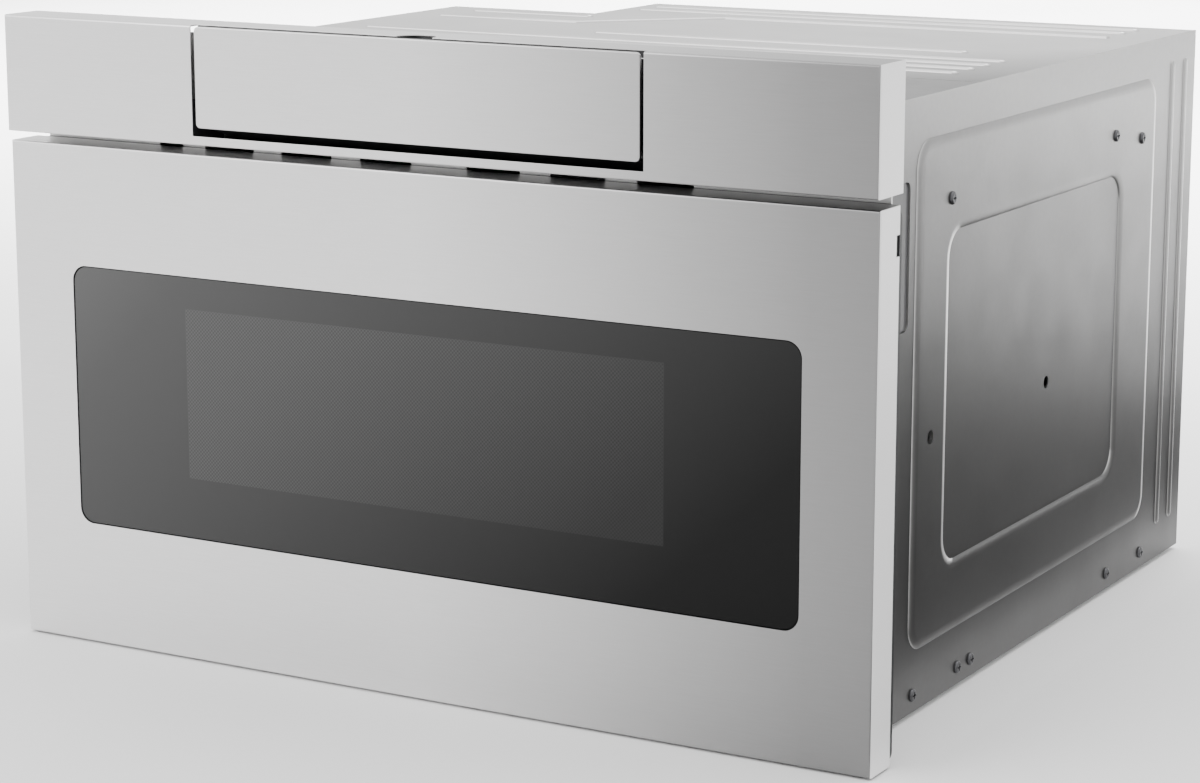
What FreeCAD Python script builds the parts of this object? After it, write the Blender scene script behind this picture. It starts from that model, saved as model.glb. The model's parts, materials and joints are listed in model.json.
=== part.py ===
import FreeCAD, Part
import math
import os
import Sketcher

# Driving dimensions in millimetres. X runs to the right of the drawer front, Y towards the
# back and Z up from the surface that the base stands on. Depths named *_y are measured
# from the face of the fascia.
SIZES = [
    ("front_half", 303.2), ("front_low", 1.3), ("front_top", 324.5), ("front_set", 2.8),
    ("front_back", 28.8), ("fascia_low", 330.6), ("fascia_top", 404.0), ("skin", 1.0),
    ("body_half", 275.0), ("body_deep", 583.0), ("body_top", 373.5), ("base_lift", 3.4),
    ("sheet", 1.2), ("frame_y", 32.3), ("frame_thick", 1.5), ("ear", 21.0),
    ("frame_top", 396.0), ("step_x", 155.0), ("step_deep", 96.0), ("run_gap", 0.3),
    ("gland_out", 9.0), ("emboss", 1.5), ("bead_half", 3.5), ("bead_cut", 2.0),
    ("flange_high", 22.0), ("fold_radius", 1.4),
    # flip-up control panel
    ("panel_half", 155.0), ("panel_low", 341.3), ("panel_top", 403.2), ("panel_deep", 4.0),
    ("panel_corner", 3.0), ("well_half", 157.5), ("well_low", 336.3), ("notch_half", 12.5),
    ("notch_y", 20.0), ("notch_start", 4.8), ("hinge_y", 6.0), ("hinge_z", 344.8),
    ("hinge_pin", 2.0),
    ("wedge_half", 152.0), ("wedge_rise", 54.0), ("wedge_back", 48.0), ("wedge_drop", 17.0),
    ("key_glass", 2.0), ("key_margin", 5.0), ("key_slant", 1.4), ("key_start", 0.06),
    ("key_end", 0.94), ("control_gap_top", 372.5),
    ("control_gap_half", 159.5),
    # vents behind the gap over the drawer front
    ("vent_low", 317.0), ("vent_top", 329.6), ("vent_half", 20.5), ("vent_slant", 3.0),
    ("vent_pitch", 58.0), ("vent_first", 38.0), ("vent_last", 198.5), ("vent_short", 11.0),
    # drawer front
    ("glass_half", 257.0), ("glass_low", 80.3), ("glass_top", 247.8), ("glass_corner", 10.0),
    ("glass_thick", 4.0), ("glass_sunk", 0.6), ("glass_gap", 0.5), ("view_half", 169.5),
    ("view_low", 119.3), ("view_top", 227.3), ("screen_thick", 0.8), ("screen_edge", 12.0),
    ("carrier_thick", 5.0), ("carrier_edge", 14.0), ("inner_thick", 4.0), ("choke_thick", 3.2),
    ("choke_edge", 0.2), ("choke_corner", 8.0), ("tab_low", 296.0), ("tab_high", 12.0),
    ("tab_deep", 4.0),
    # oven cavity and drawer box
    ("side_space", 45.0), ("cavity_low", 81.3), ("cavity_top", 277.3), ("machine_deep", 103.0),
    ("cavity_wall", 1.0), ("box_gap", 6.0), ("box_low", 84.5), ("box_top", 236.0),
    ("box_back", 18.0), ("box_wall", 3.0), ("box_floor", 3.5), ("box_corner", 22.0),
    ("plate_thick", 5.0), ("plate_gap", 1.5),
    # telescopic slides
    ("slide_space", 13.0), ("slide_mid", 52.0), ("slide_half", 22.5), ("slide_start", 36.0),
    ("slide_gauge", 1.4), ("slide_lip", 9.0), ("middle_in", 4.6),
    ("inner_in", 12.7), ("rail_end", 180.0), ("rail_half", 14.0), ("rail_foot", 14.0),
    ("slide_slot", 1.2), ("spacer_half", 15.0),
    # rack drive
    ("gear_module", 2.0), ("rack_low", 20.0), ("rack_high", 14.0), ("rack_back", 12.0),
    ("rack_back_gap", 4.0), ("pinion_y", 66.0), ("pinion_over", 1.0), ("shaft_radius", 4.0),
    ("backlash", 0.3), ("dedendum", 1.25), ("tooth_foot", 1.3), ("tooth_crest", 0.45),
    ("tooth_sunk", 0.97), ("motor_low", 38.0), ("motor_half", 26.0), ("bracket_right", 52.0),
    ("bracket_back", 39.0), ("gearbox_high", 14.0), ("gearbox_left", 21.0), ("gearbox_right", 47.0),
    ("gearbox_back", 34.0), ("motor_right", 18.0), ("motor_back", 8.0),
    ("motor_can", 22.0), ("motor_high", 18.0),
    ("bracket_thick", 2.0), ("guide_wall", 2.0), ("guide_lip", 10.0),
    ("guide_short", 25.0), ("pinion_teeth", 16),
    # latch and interlock
    ("hook_edge", 29.0), ("hook_thick", 3.0), ("hook_low", 196.0), ("hook_high", 20.0),
    ("hook_long", 30.0), ("switch_wide", 10.0), ("switch_long", 28.0), ("switch_high", 16.0),
    # side panel features
    ("pocket_y", 104.6), ("pocket_low", 238.8), ("pocket_top", 326.3), ("pocket_corner", 5.0),
    ("panel_y", 113.0), ("panel_end", 77.0), ("panel_z", 41.3), ("panel_head", 348.3),
    ("inner_y", 161.0), ("inner_end", 142.0), ("inner_z", 86.3), ("inner_head", 289.3),
    ("big_corner", 14.0), ("bead_low", 28.0), ("bead_top", 356.0), ("bead_back", 20.0),
    ("bead_fore", 45.0), ("hole_radius", 4.0), ("hole_z", 169.6), ("hole_fore", 136.7),
    ("hole_back", 321.5),
    # top cover
    ("seam_y", 205.0), ("seam_gap", 1.6), ("rib_edge", 32.0), ("rib_y", 243.0),
    ("rib_pitch", 25.0), ("rib_back", 52.0), ("rib_mid", 360.0), ("rib_mid_left", 81.0),
    ("rib_mid_right", 199.0), ("jog_y", 69.0),
    ("jog_rise", 79.0), ("jog_x", 128.0), ("rib_stub", 141.0), ("stub_y", 26.0),
    # magnetron side
    ("guide_half", 44.0), ("guide_front", 205.0), ("guide_high", 40.0), ("port_radius", 32.0),
    ("stirrer_y", 250.0), ("stirrer_blade", 72.0), ("stirrer_tip", 66.0), ("stirrer_hub", 18.0),
    ("stirrer_drop", 16.0), ("stem_radius", 3.0),
    ("tube_half", 38.0), ("tube_y", 12.0), ("tube_deep", 80.0), ("tube_high", 92.0), ("tube_low", 240.0),
    ("fin_pitch", 8.0), ("fin_thick", 0.8), ("dome_radius", 8.0), ("dome_high", 22.0),
    ("core_x", 98.0), ("core_half", 46.0), ("core_y", 18.0), ("core_deep", 58.0),
    ("core_high", 80.0), ("coil_out", 12.0), ("coil_cut", 7.0), ("can_x", 2.0), ("can_half", 27.0),
    ("can_y", 55.0), ("can_deep", 18.0), ("can_cut", 10.0), ("can_high", 96.0), ("post_radius", 3.0),
    # cooling fan
    ("fan_edge", 70.0), ("fan_z", 126.0), ("fan_half", 58.0), ("fan_deep", 26.0),
    ("fan_bore", 52.0), ("fan_can", 18.0), ("blade_radius", 49.0), ("blade_root", 7.0),
    ("blade_tip", 15.0), ("blade_cut", 4.0), ("blade_thick", 1.6),
    ("blade_sunk", 2.0), ("hub_radius", 20.0), ("hub_deep", 14.0),
    ("spoke_half", 4.0), ("spoke_deep", 3.0), ("grille_slot", 4.0), ("grille_cut", 1.2),
    ("grille_pitch", 12.0),
    # boards
    ("board_x", 210.0), ("board_wide", 130.0), ("board_y", 90.0), ("board_long", 190.0),
    ("board_thick", 1.6), ("board_rise", 9.0), ("relay_wide", 22.0), ("relay_high", 18.0),
    ("relay_pitch", 31.0), ("supply_wide", 43.0), ("supply_long", 42.0), ("supply_high", 26.0),
    ("board_can", 23.0), ("filter_x", 110.0), ("filter_half", 33.0), ("choke_ring", 17.5),
    ("lamp_y", 300.0), ("lamp_z", 232.0), ("lamp_half", 22.0), ("lamp_out", 26.0),
    # cord entry and fasteners
    ("cord_x", 90.0), ("cord_z", 60.0), ("cord_radius", 4.2), ("gland_radius", 12.0),
    ("gland_in", 8.0), ("screw_head", 4.0), ("screw_shank", 2.0), ("screw_play", 0.2), ("screw_high", 1.8),
    ("screw_long", 7.0), ("rail_screw", 309.5), ("foot_pitch", 67.0),
    ("foot_pair", 20.0), ("mount_edge", 10.5), ("mount_low", 70.0), ("mount_top", 300.0),
    ("mount_radius", 2.4),
]

doc = FreeCAD.newDocument("MicrowaveDrawer")
sheet = doc.addObject("Spreadsheet::Sheet", "Sizes")


class Size:
    """A length: its value now, and the sheet formula that keeps an object up to date."""

    def __init__(self, value, formula):
        self.value = float(value)
        self.formula = formula

    def __add__(self, other):
        other = as_size(other)
        return Size(self.value + other.value, f"({self.formula} + {other.formula})")

    def __sub__(self, other):
        other = as_size(other)
        return Size(self.value - other.value, f"({self.formula} - {other.formula})")

    def __mul__(self, factor):
        factor = as_size(factor)
        return Size(self.value * factor.value, f"({self.formula} * {factor.formula})")

    def __truediv__(self, factor):
        factor = as_size(factor)
        return Size(self.value / factor.value, f"({self.formula} / {factor.formula})")

    def __radd__(self, other):
        return as_size(other) + self

    def __rsub__(self, other):
        return as_size(other) - self

    def __rmul__(self, factor):
        return self * factor

    def __neg__(self):
        return as_size(0) - self


def as_size(thing):
    """A Size as it is, or a plain number as a Size."""
    if isinstance(thing, Size):
        return thing
    return Size(thing, f"({float(thing)!r})")


class Sheet:
    """The spreadsheet's cells, read as attributes."""

    def __init__(self, sizes):
        for row, (name, value) in enumerate(sizes, 1):
            sheet.set(f"A{row}", name)
            sheet.set(f"B{row}", str(value))
            sheet.setAlias(f"B{row}", name)
            setattr(self, name, Size(value, f"Sizes.{name}"))
        doc.recompute()


S = Sheet(SIZES)

# Places worked out from the sizes
FRONT = -(S.body_deep + S.gland_out) / 2
REAR = FRONT + S.body_deep
FRAME_BACK = FRONT + S.frame_y + S.frame_thick
BASE_TOP = S.base_lift + S.sheet
PANEL_IN = S.body_half - S.sheet
ROOF_IN = S.body_top - S.sheet
STEP = REAR - S.step_deep
FRAME_HALF = S.body_half + S.ear
HOOK_X = S.body_half - S.hook_edge
CAVITY_HALF = S.body_half - S.side_space
CAVITY_BACK = REAR - S.machine_deep
BULKHEAD = CAVITY_BACK + S.cavity_wall
CAVITY_ROOF = S.cavity_top + S.cavity_wall
DOOR_BACK = FRONT + S.front_back + S.choke_thick
BOX_HALF = CAVITY_HALF - S.box_gap
BOX_BACK = CAVITY_BACK - S.box_back
SLIDE_OUT = S.body_half - S.slide_space
SLIDE_END = CAVITY_BACK - S.run_gap
RIB_HALF = S.body_half - S.rib_edge
FAN_X = S.body_half - S.fan_edge
TUBE_FRONT = CAVITY_BACK + S.tube_y
CORE_FRONT = CAVITY_BACK + S.core_y
PITCH_RADIUS = S.gear_module * (S.pinion_teeth / 2)
PINION_X = PITCH_RADIUS - S.gear_module
RACK_ROOT = -S.gear_module * (S.dedendum + 1)
PRESSURE_SLOPE = round(math.tan(math.radians(20)), 6)
BLADE_PITCH = 35
PRESSING_TAPER, SKID_TAPER = 40, 30
SMALL_SIDES, LARGE_SIDES = 6, 12
FAN_BLADES, HUB_SIDES = 7, 14


def bind(thing, name, size):
    """Tie a property to the sheet's cells."""
    thing.setExpression(name, as_size(size).formula)


class Drawing:
    """The lines, arcs and dimensions of a sketch, written into it in one go."""

    def __init__(self):
        self.shapes = []
        self.rules = []
        self.sizes = []

    def add(self, shape):
        self.shapes.append(shape)
        return len(self.shapes) - 1

    def join(self, first, first_end, second, second_end):
        """Let two ends meet."""
        self.rules.append(Sketcher.Constraint("Coincident", first, first_end, second, second_end))
        self.sizes.append(None)

    def measure(self, kind, *terms, size):
        """Give a dimension its size."""
        self.rules.append(Sketcher.Constraint(kind, *terms, size.value))
        self.sizes.append(size)

    def place(self, index, point, across, up):
        """Hold one point at sizes from the sketch's origin."""
        self.measure("DistanceX", -1, 1, index, point, size=across)
        self.measure("DistanceY", -1, 1, index, point, size=up)

    def write(self, sketch):
        sketch.addGeometry(self.shapes)
        sketch.addConstraint(self.rules)
        for number, size in enumerate(self.sizes):
            if size is not None:
                bind(sketch, f"Constraints[{number}]", size)


class Round:
    """A circle in a sketch."""

    def __init__(self, across, up, radius):
        self.across, self.up, self.radius = as_size(across), as_size(up), as_size(radius)

    def draw(self, drawing):
        centre = FreeCAD.Vector(self.across.value, self.up.value, 0)
        index = drawing.add(Part.Circle(centre, FreeCAD.Vector(0, 0, 1), self.radius.value))
        drawing.place(index, 3, self.across, self.up)
        drawing.measure("Radius", index, size=self.radius)


class Corner:
    """One corner of an outline, with the two ends of its rounding where it has one."""

    def __init__(self, before, here, after):
        self.across, self.up = as_size(here[0]), as_size(here[1])
        self.radius = as_size(here[2]) if len(here) > 2 else None
        self.enter = self.leave = (self.across, self.up)
        if self.radius is None:
            return
        back = self.direction(before)
        onward = self.direction(after)
        half = math.acos(max(-1.0, min(1.0, back[0] * onward[0] + back[1] * onward[1]))) / 2
        run = self.radius * round(1 / math.tan(half), 6)
        self.enter = (self.across + run * back[0], self.up + run * back[1])
        self.leave = (self.across + run * onward[0], self.up + run * onward[1])
        self.left_turn = back[0] * onward[1] - back[1] * onward[0] < 0
        middle = (back[0] + onward[0], back[1] + onward[1])
        reach = self.radius.value / math.sin(half) / math.hypot(*middle)
        self.centre = (self.across.value + middle[0] * reach, self.up.value + middle[1] * reach)

    def direction(self, other):
        run = as_size(other[0]).value - self.across.value
        rise = as_size(other[1]).value - self.up.value
        length = math.hypot(run, rise)
        return round(run / length, 6), round(rise / length, 6)

    def arc(self):
        """The rounding as an arc, whose start is at the entering end on a left turn."""
        first, last = (self.enter, self.leave) if self.left_turn else (self.leave, self.enter)
        angles = []
        for end in (first, last):
            angles.append(math.atan2(end[1].value - self.centre[1], end[0].value - self.centre[0]))
        if angles[1] < angles[0]:
            angles[1] += 2 * math.pi
        circle = Part.Circle(FreeCAD.Vector(*self.centre, 0), FreeCAD.Vector(0, 0, 1), self.radius.value)
        return Part.ArcOfCircle(circle, angles[0], angles[1])


class Outline:
    """A closed outline through points, each (across, up) or (across, up, corner radius)."""

    def __init__(self, *points):
        self.corners = []
        for number, point in enumerate(points):
            following = points[(number + 1) % len(points)]
            self.corners.append(Corner(points[number - 1], point, following))

    def draw(self, drawing):
        lines = []
        for number, corner in enumerate(self.corners):
            following = self.corners[(number + 1) % len(self.corners)]
            start = FreeCAD.Vector(corner.leave[0].value, corner.leave[1].value, 0)
            end = FreeCAD.Vector(following.enter[0].value, following.enter[1].value, 0)
            lines.append(drawing.add(Part.LineSegment(start, end)))
            drawing.place(lines[-1], 1, *corner.leave)
            if following.radius is not None:
                drawing.place(lines[-1], 2, *following.enter)
        for number, corner in enumerate(self.corners):
            entering, leaving = lines[number - 1], lines[number]
            if corner.radius is None:
                drawing.join(entering, 2, leaving, 1)
                continue
            arc = drawing.add(corner.arc())
            enter, leave = (1, 2) if corner.left_turn else (2, 1)
            drawing.join(entering, 2, arc, enter)
            drawing.join(leaving, 1, arc, leave)
            drawing.measure("Radius", arc, size=corner.radius)


def box(left, right, low, high, radius=None):
    """A rectangle, with rounded corners where a radius is given."""
    corners = [(left, low), (right, low), (right, high), (left, high)]
    if radius is not None:
        corners = [corner + (radius,) for corner in corners]
    return Outline(*corners)


def trimmed(left, right, low, high, cut):
    """A rectangle whose corners are cut off."""
    return Outline((left + cut, low), (right - cut, low), (right, low + cut), (right, high - cut),
                   (right - cut, high), (left + cut, high), (left, high - cut), (left, low + cut))


def bar(left, right, middle, half, cut):
    """A long bar across, for a pressed bead or a slot."""
    return trimmed(left, right, middle - half, middle + half, cut)


def disc(across, up, radius, sides=SMALL_SIDES):
    """A round with flat sides, for what is small and repeats."""
    corners = []
    for number in range(sides):
        angle = math.pi * (2 * number + 1) / sides
        reach = 1 / math.cos(math.pi / sides)
        corners.append((as_size(across) + radius * round(reach * math.cos(angle), 6),
                        as_size(up) + radius * round(reach * math.sin(angle), 6)))
    return Outline(*corners)


class Piece:
    """One sub-part: a body whose features run between two places along an axis."""

    def __init__(self, name, at=None, turn=None):
        self.body = doc.addObject("PartDesign::Body", name)
        self.body.Label = name
        self.body.AllowCompound = True
        if at is not None:
            for letter, size in zip("xyz", at):
                bind(self.body, f"Placement.Base.{letter}", size)
        if turn is not None:
            self.body.Placement.Rotation = FreeCAD.Rotation(FreeCAD.Vector(*turn[0]), turn[1])

    def sketch(self, plane, level, loops):
        sketch = self.body.newObject("Sketcher::SketchObject", f"{self.body.Label}_sketch")
        origin = [item for item in self.body.Origin.OriginFeatures if item.Role == plane + "_Plane"]
        sketch.AttachmentSupport = [(origin[0], "")]
        sketch.MapMode = "FlatFace"
        bind(sketch, "AttachmentOffset.Base.z", -level if plane == "XZ" else level)
        drawing = Drawing()
        for loop in loops:
            loop.draw(drawing)
        drawing.write(sketch)
        return sketch

    def pad(self, plane, low, high, *loops, downward=False, taper=0):
        """Add material from low to high, drawn at the end that a taper narrows away from."""
        low, high = as_size(low), as_size(high)
        sketch = self.sketch(plane, high if downward else low, loops)
        feature = self.body.newObject("PartDesign::Pad", f"{self.body.Label}_pad")
        feature.Profile = sketch
        feature.Reversed = downward != (plane == "XZ")
        feature.TaperAngle = -taper
        bind(feature, "Length", high - low)
        return feature

    def pocket(self, plane, low, high, *loops):
        """Cut from low to high, and fail where nothing is cut away."""
        low, high = as_size(low), as_size(high)
        doc.recompute()
        before = self.body.Shape.Volume
        feature = self.body.newObject("PartDesign::Pocket", f"{self.body.Label}_pocket")
        feature.Profile = self.sketch(plane, low if plane == "XZ" else high, loops)
        bind(feature, "Length", high - low)
        doc.recompute()
        if not self.body.Shape.Volume < before:
            raise ValueError(f"{self.body.Label}: a pocket cuts nothing")
        return feature

    def plate(self, pitch, thick, outline):
        """A flat plate along the body's own X axis, turned about that axis."""
        sketch = self.sketch("XY", 0, [outline])
        turn = FreeCAD.Rotation(FreeCAD.Vector(1, 0, 0), pitch)
        sketch.AttachmentOffset = FreeCAD.Placement(FreeCAD.Vector(), turn)
        feature = self.body.newObject("PartDesign::Pad", f"{self.body.Label}_plate")
        feature.Profile = sketch
        bind(feature, "Length", thick)
        return feature

    def ring(self, feature, count):
        """Repeat a feature about the body's own Z axis."""
        doc.recompute()
        pattern = self.body.newObject("PartDesign::PolarPattern", f"{self.body.Label}_ring")
        axis = [item for item in self.body.Origin.OriginFeatures if item.Role == "Z_Axis"]
        pattern.Originals = [feature]
        pattern.Axis = (axis[0], [""])
        pattern.Angle = 360
        pattern.Occurrences = count
        self.body.Tip = pattern
        return pattern

    def row(self, feature, axis, length, count):
        """Repeat a feature along one of the body's own axes."""
        doc.recompute()
        pattern = self.body.newObject("PartDesign::LinearPattern", f"{self.body.Label}_row")
        line = [item for item in self.body.Origin.OriginFeatures if item.Role == axis + "_Axis"]
        pattern.Originals = [feature]
        pattern.Direction = (line[0], [""])
        bind(pattern, "Length", length)
        pattern.Occurrences = count
        self.body.Tip = pattern
        return pattern

    def rounded(self, radius, wanted):
        """Fillet the edges of the last feature that a test picks."""
        doc.recompute()
        base = self.body.Tip
        names = []
        for number, edge in enumerate(base.Shape.Edges, 1):
            if wanted(edge):
                names.append(f"Edge{number}")
        fillet = self.body.newObject("PartDesign::Fillet", f"{self.body.Label}_fillet")
        fillet.Base = (base, names)
        bind(fillet, "Radius", radius)
        return fillet


SIDES = (("left", -1), ("right", 1))


def across(side, near, far):
    """Two places mirrored to one side, in rising order."""
    return (near, far) if side > 0 else (-far, -near)


# ---- chassis ---------------------------------------------------------------------------

def plan(inset, front):
    """The body seen from above, with the step at its left rear corner."""
    left, right = -S.body_half + inset, S.body_half - inset
    return Outline((left, front), (right, front), (right, REAR - inset), (-S.step_x + inset, REAR - inset),
                   (-S.step_x + inset, STEP - inset), (left, STEP - inset))


def base_plate():
    """A tray open at the front, standing on pressed skids."""
    piece = Piece("base_plate")
    piece.pad("XY", S.base_lift, S.base_lift + S.flange_high, plan(S.sheet, FRAME_BACK))
    piece.pocket("XY", BASE_TOP, S.base_lift + S.flange_high, plan(2 * S.sheet, FRAME_BACK - S.sheet))
    skid_front = bar(-RIB_HALF, RIB_HALF, FRONT + S.pocket_y, S.bead_half * 2, S.bead_cut * 2)
    skid_back = bar(-RIB_HALF, RIB_HALF, STEP - S.bead_back * 2, S.bead_half * 2, S.bead_cut * 2)
    piece.pad("XY", 0, S.base_lift, skid_front, skid_back, downward=True, taper=SKID_TAPER)
    for end, side in ((STEP, -1), (REAR, 1)):
        walls = across(side, PANEL_IN - S.sheet, PANEL_IN)
        piece.pocket("YZ", *walls, *screw_holes(base_spots(end)))
    piece.pocket("XZ", REAR - 2 * S.sheet, REAR - S.sheet, *screw_holes(rear_spots()[::2]))
    return piece


def side_outline(end):
    """The side panel, with the slot that opens at its front edge."""
    corner = S.pocket_corner
    front = FRAME_BACK
    return Outline((front, S.base_lift), (end, S.base_lift), (end, S.body_top), (front, S.body_top),
                   (front, S.pocket_top), (FRONT + S.pocket_y, S.pocket_top, corner),
                   (FRONT + S.pocket_y, S.pocket_low, corner), (front, S.pocket_low))


def side_panel(name, side, end):
    """A side sheet with two framed pressings, two upright beads, slot and holes."""
    piece = Piece("side_panel_" + name)
    near, far = across(side, PANEL_IN, S.body_half)
    piece.pad("YZ", near, far, side_outline(end))
    raised = across(side, S.body_half, S.body_half + S.emboss)
    outward = {"downward": side < 0, "taper": PRESSING_TAPER}
    outer = box(FRONT + S.panel_y, end - S.panel_end, S.panel_z, S.panel_head, S.big_corner)
    piece.pad("YZ", *raised, outer, **outward)
    inner = box(FRONT + S.inner_y, end - S.inner_end, S.inner_z, S.inner_head, S.big_corner)
    piece.pocket("YZ", *raised, inner)
    for back in (S.bead_back, S.bead_fore):
        bead = trimmed(end - back - S.bead_half, end - back + S.bead_half, S.bead_low, S.bead_top, S.bead_cut)
        piece.pad("YZ", *raised, bead, **outward)
    holes = [disc(FRONT + S.hole_fore, S.hole_z, S.hole_radius, LARGE_SIDES),
             disc(end - S.body_deep + S.hole_back, S.hole_z, S.hole_radius, LARGE_SIDES)]
    through = across(side, PANEL_IN, S.body_half + S.emboss)
    piece.pocket("YZ", *through, *holes)
    piece.pocket("YZ", *through, *screw_holes(base_spots(end)))
    piece.pocket("YZ", *through, *screw_holes(rail_spots(end)))
    return piece


def front_top_plate():
    """The flat front strip of the roof, up to the seam."""
    piece = Piece("front_top_plate")
    left, right = -PANEL_IN, PANEL_IN
    seam = FRONT + S.seam_y - S.seam_gap / 2
    piece.pad("XY", ROOF_IN - S.flange_high / 2, S.body_top, box(left, right, FRAME_BACK, seam))
    piece.pocket("XY", ROOF_IN - S.flange_high / 2, ROOF_IN,
                 box(left + S.sheet, right - S.sheet, FRAME_BACK - S.sheet, seam + S.sheet))
    return piece


def top_cover():
    """The rear roof sheet with its pressed ribs."""
    piece = Piece("top_cover")
    seam = FRONT + S.seam_y + S.seam_gap / 2
    piece.pad("XY", ROOF_IN - S.flange_high / 2, S.body_top, plan(S.sheet, seam))
    piece.pocket("XY", ROOF_IN - S.flange_high / 2, ROOF_IN, plan(2 * S.sheet, seam - S.sheet))
    crown = S.body_top + S.emboss
    first = rib(-RIB_HALF, RIB_HALF, FRONT + S.rib_y)
    piece.row(piece.pad("XY", S.body_top, crown, first, taper=PRESSING_TAPER), "Y", S.rib_pitch * 3, 4)
    last = rib(-S.rib_stub, RIB_HALF, REAR - S.rib_back)
    piece.row(piece.pad("XY", S.body_top, crown, last, taper=PRESSING_TAPER), "Y", S.rib_pitch, 2)
    middle = rib(-S.rib_mid_left, S.rib_mid_right, FRONT + S.rib_mid)
    stub = rib(-RIB_HALF, -S.rib_stub, STEP - S.stub_y)
    for outline in (middle, stub, jog_rib()):
        piece.pad("XY", S.body_top, crown, outline, taper=PRESSING_TAPER)
    piece.pocket("XZ", REAR - 2 * S.sheet, REAR - S.sheet, *screw_holes(rear_spots()[1::2]))
    return piece


def rib(left, right, middle):
    """The foot of one pressed rib of the roof."""
    return bar(left, right, middle, S.bead_half, S.bead_cut)


def jog_rib():
    """The rib that steps back at 45 degrees around the rear left corner."""
    half = S.bead_half
    skew = half * round(math.tan(math.pi / 8), 6)
    low, high = STEP - S.jog_y, STEP - S.jog_y + S.jog_rise
    start, stop = -S.jog_x, -S.jog_x + S.jog_rise
    return Outline((-RIB_HALF, low - half), (start + skew, low - half), (stop + skew, high - half),
                   (RIB_HALF, high - half), (RIB_HALF, high + half), (stop - skew, high + half),
                   (start - skew, low + half), (-RIB_HALF, low + half))


def rear_panel():
    """The flat rear sheet, with the fan grille, an upper vent and the cord hole."""
    piece = Piece("rear_panel")
    low, high = REAR - S.sheet, REAR
    piece.pad("XZ", low, high, box(-S.step_x, PANEL_IN, BASE_TOP + S.run_gap, ROOF_IN))
    piece.pocket("XZ", low, high, disc(S.cord_x, S.cord_z, S.gland_radius - S.bead_half, LARGE_SIDES))
    piece.pocket("XZ", low, high, *screw_holes(rear_spots()))
    for centre, lowest, rows in ((FAN_X, S.fan_z - S.grille_pitch * 3, 7), (-S.core_x, S.tube_low, 5)):
        slot = bar(centre - S.fan_bore, centre + S.fan_bore, lowest, S.grille_slot / 2, S.grille_cut)
        piece.row(piece.pocket("XZ", low, high, slot), "Z", S.grille_pitch * (rows - 1), rows)
    return piece


def step_panel():
    """The sheet bent round the step at the rear left corner."""
    piece = Piece("step_panel")
    gauge = S.sheet
    strip = Outline((-S.step_x, REAR - gauge), (-S.step_x, STEP), (-PANEL_IN, STEP),
                    (-PANEL_IN, STEP - gauge), (-S.step_x + gauge, STEP - gauge),
                    (-S.step_x + gauge, REAR - gauge))
    piece.pad("XY", BASE_TOP + S.run_gap, ROOF_IN, strip)
    return piece


def vent(middle, half):
    """One opening over the drawer front, narrower at its top."""
    return Outline((middle - half, S.vent_low), (middle + half, S.vent_low),
                   (middle + half - S.vent_slant, S.vent_top), (middle - half + S.vent_slant, S.vent_top))


def front_frame():
    """The plate that the body hangs on, with ears for the cabinet screws."""
    piece = Piece("front_frame")
    low, high = FRONT + S.frame_y, FRAME_BACK
    half, top = FRAME_HALF, S.frame_top
    piece.pad("XZ", low, high, box(-half, half, S.base_lift, top))
    cavity = box(-CAVITY_HALF, CAVITY_HALF, S.cavity_low, S.cavity_top)
    control = box(-S.control_gap_half, S.control_gap_half, S.vent_top + S.sheet, S.control_gap_top)
    piece.pocket("XZ", low, high, cavity, control)
    reach = SLIDE_OUT - S.slide_gauge * 2
    inner = SLIDE_OUT - S.inner_in - S.frame_thick - S.rail_foot - S.slide_slot
    rise = S.slide_half + S.slide_slot / 2
    slots = []
    for _, side in SIDES:
        slots.append(box(*across(side, inner, reach), S.slide_mid - rise, S.slide_mid + rise))
        hook = across(side, HOOK_X - S.slide_slot * 2, HOOK_X + S.hook_thick + S.slide_slot * 2)
        slots.append(box(*hook, S.hook_low - S.slide_slot * 2, S.hook_low + S.hook_high + S.slide_slot * 2))
    rack_top = S.rack_low + S.rack_high + S.slide_slot
    slots.append(box(-S.rack_back - S.slide_slot * 2, S.rack_back + S.slide_slot * 2,
                     S.rack_low - S.slide_slot, rack_top))
    piece.pocket("XZ", low, high, *slots)
    vents = [vent(-S.vent_last, S.vent_short)]
    for _, side in SIDES:
        for number in range(3):
            vents.append(vent(side * (S.vent_first + S.vent_pitch * number), S.vent_half))
    piece.pocket("XZ", low, high, *vents)
    holes = []
    for _, side in SIDES:
        for level in (S.mount_low, S.mount_top):
            holes.append(Round(side * (FRAME_HALF - S.mount_edge), level, S.mount_radius))
    piece.pocket("XZ", low, high, *holes)
    return piece


def fascia():
    """The stainless strip over the drawer, open for the control panel."""
    piece = Piece("fascia")
    half, back = S.front_half, FRONT + S.frame_y
    piece.pad("XZ", FRONT, back, box(-half, half, S.fascia_low, S.fascia_top))
    piece.rounded(S.fold_radius, lambda edge: upright(edge) and edge.BoundBox.YMax < FRONT.value + 1)
    wall = S.skin
    piece.pocket("XZ", FRONT + wall, back, box(-half + wall, half - wall, S.fascia_low + wall,
                                               S.fascia_top - wall))
    opening = box(-S.well_half, S.well_half, S.well_low, S.fascia_top)
    piece.pocket("XZ", FRONT, FRONT + S.notch_start, opening)
    corner = S.notch_half - S.run_gap
    notch = Outline((-S.notch_half, FRONT), (S.notch_half, FRONT), (S.notch_half, FRONT + S.notch_y, corner),
                    (-S.notch_half, FRONT + S.notch_y, corner))
    piece.pocket("XY", S.fascia_top - wall, S.fascia_top, notch)
    return piece


def upright(edge):
    """Whether an edge runs straight up."""
    return edge.BoundBox.XLength < 0.01 and edge.BoundBox.YLength < 0.01


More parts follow.
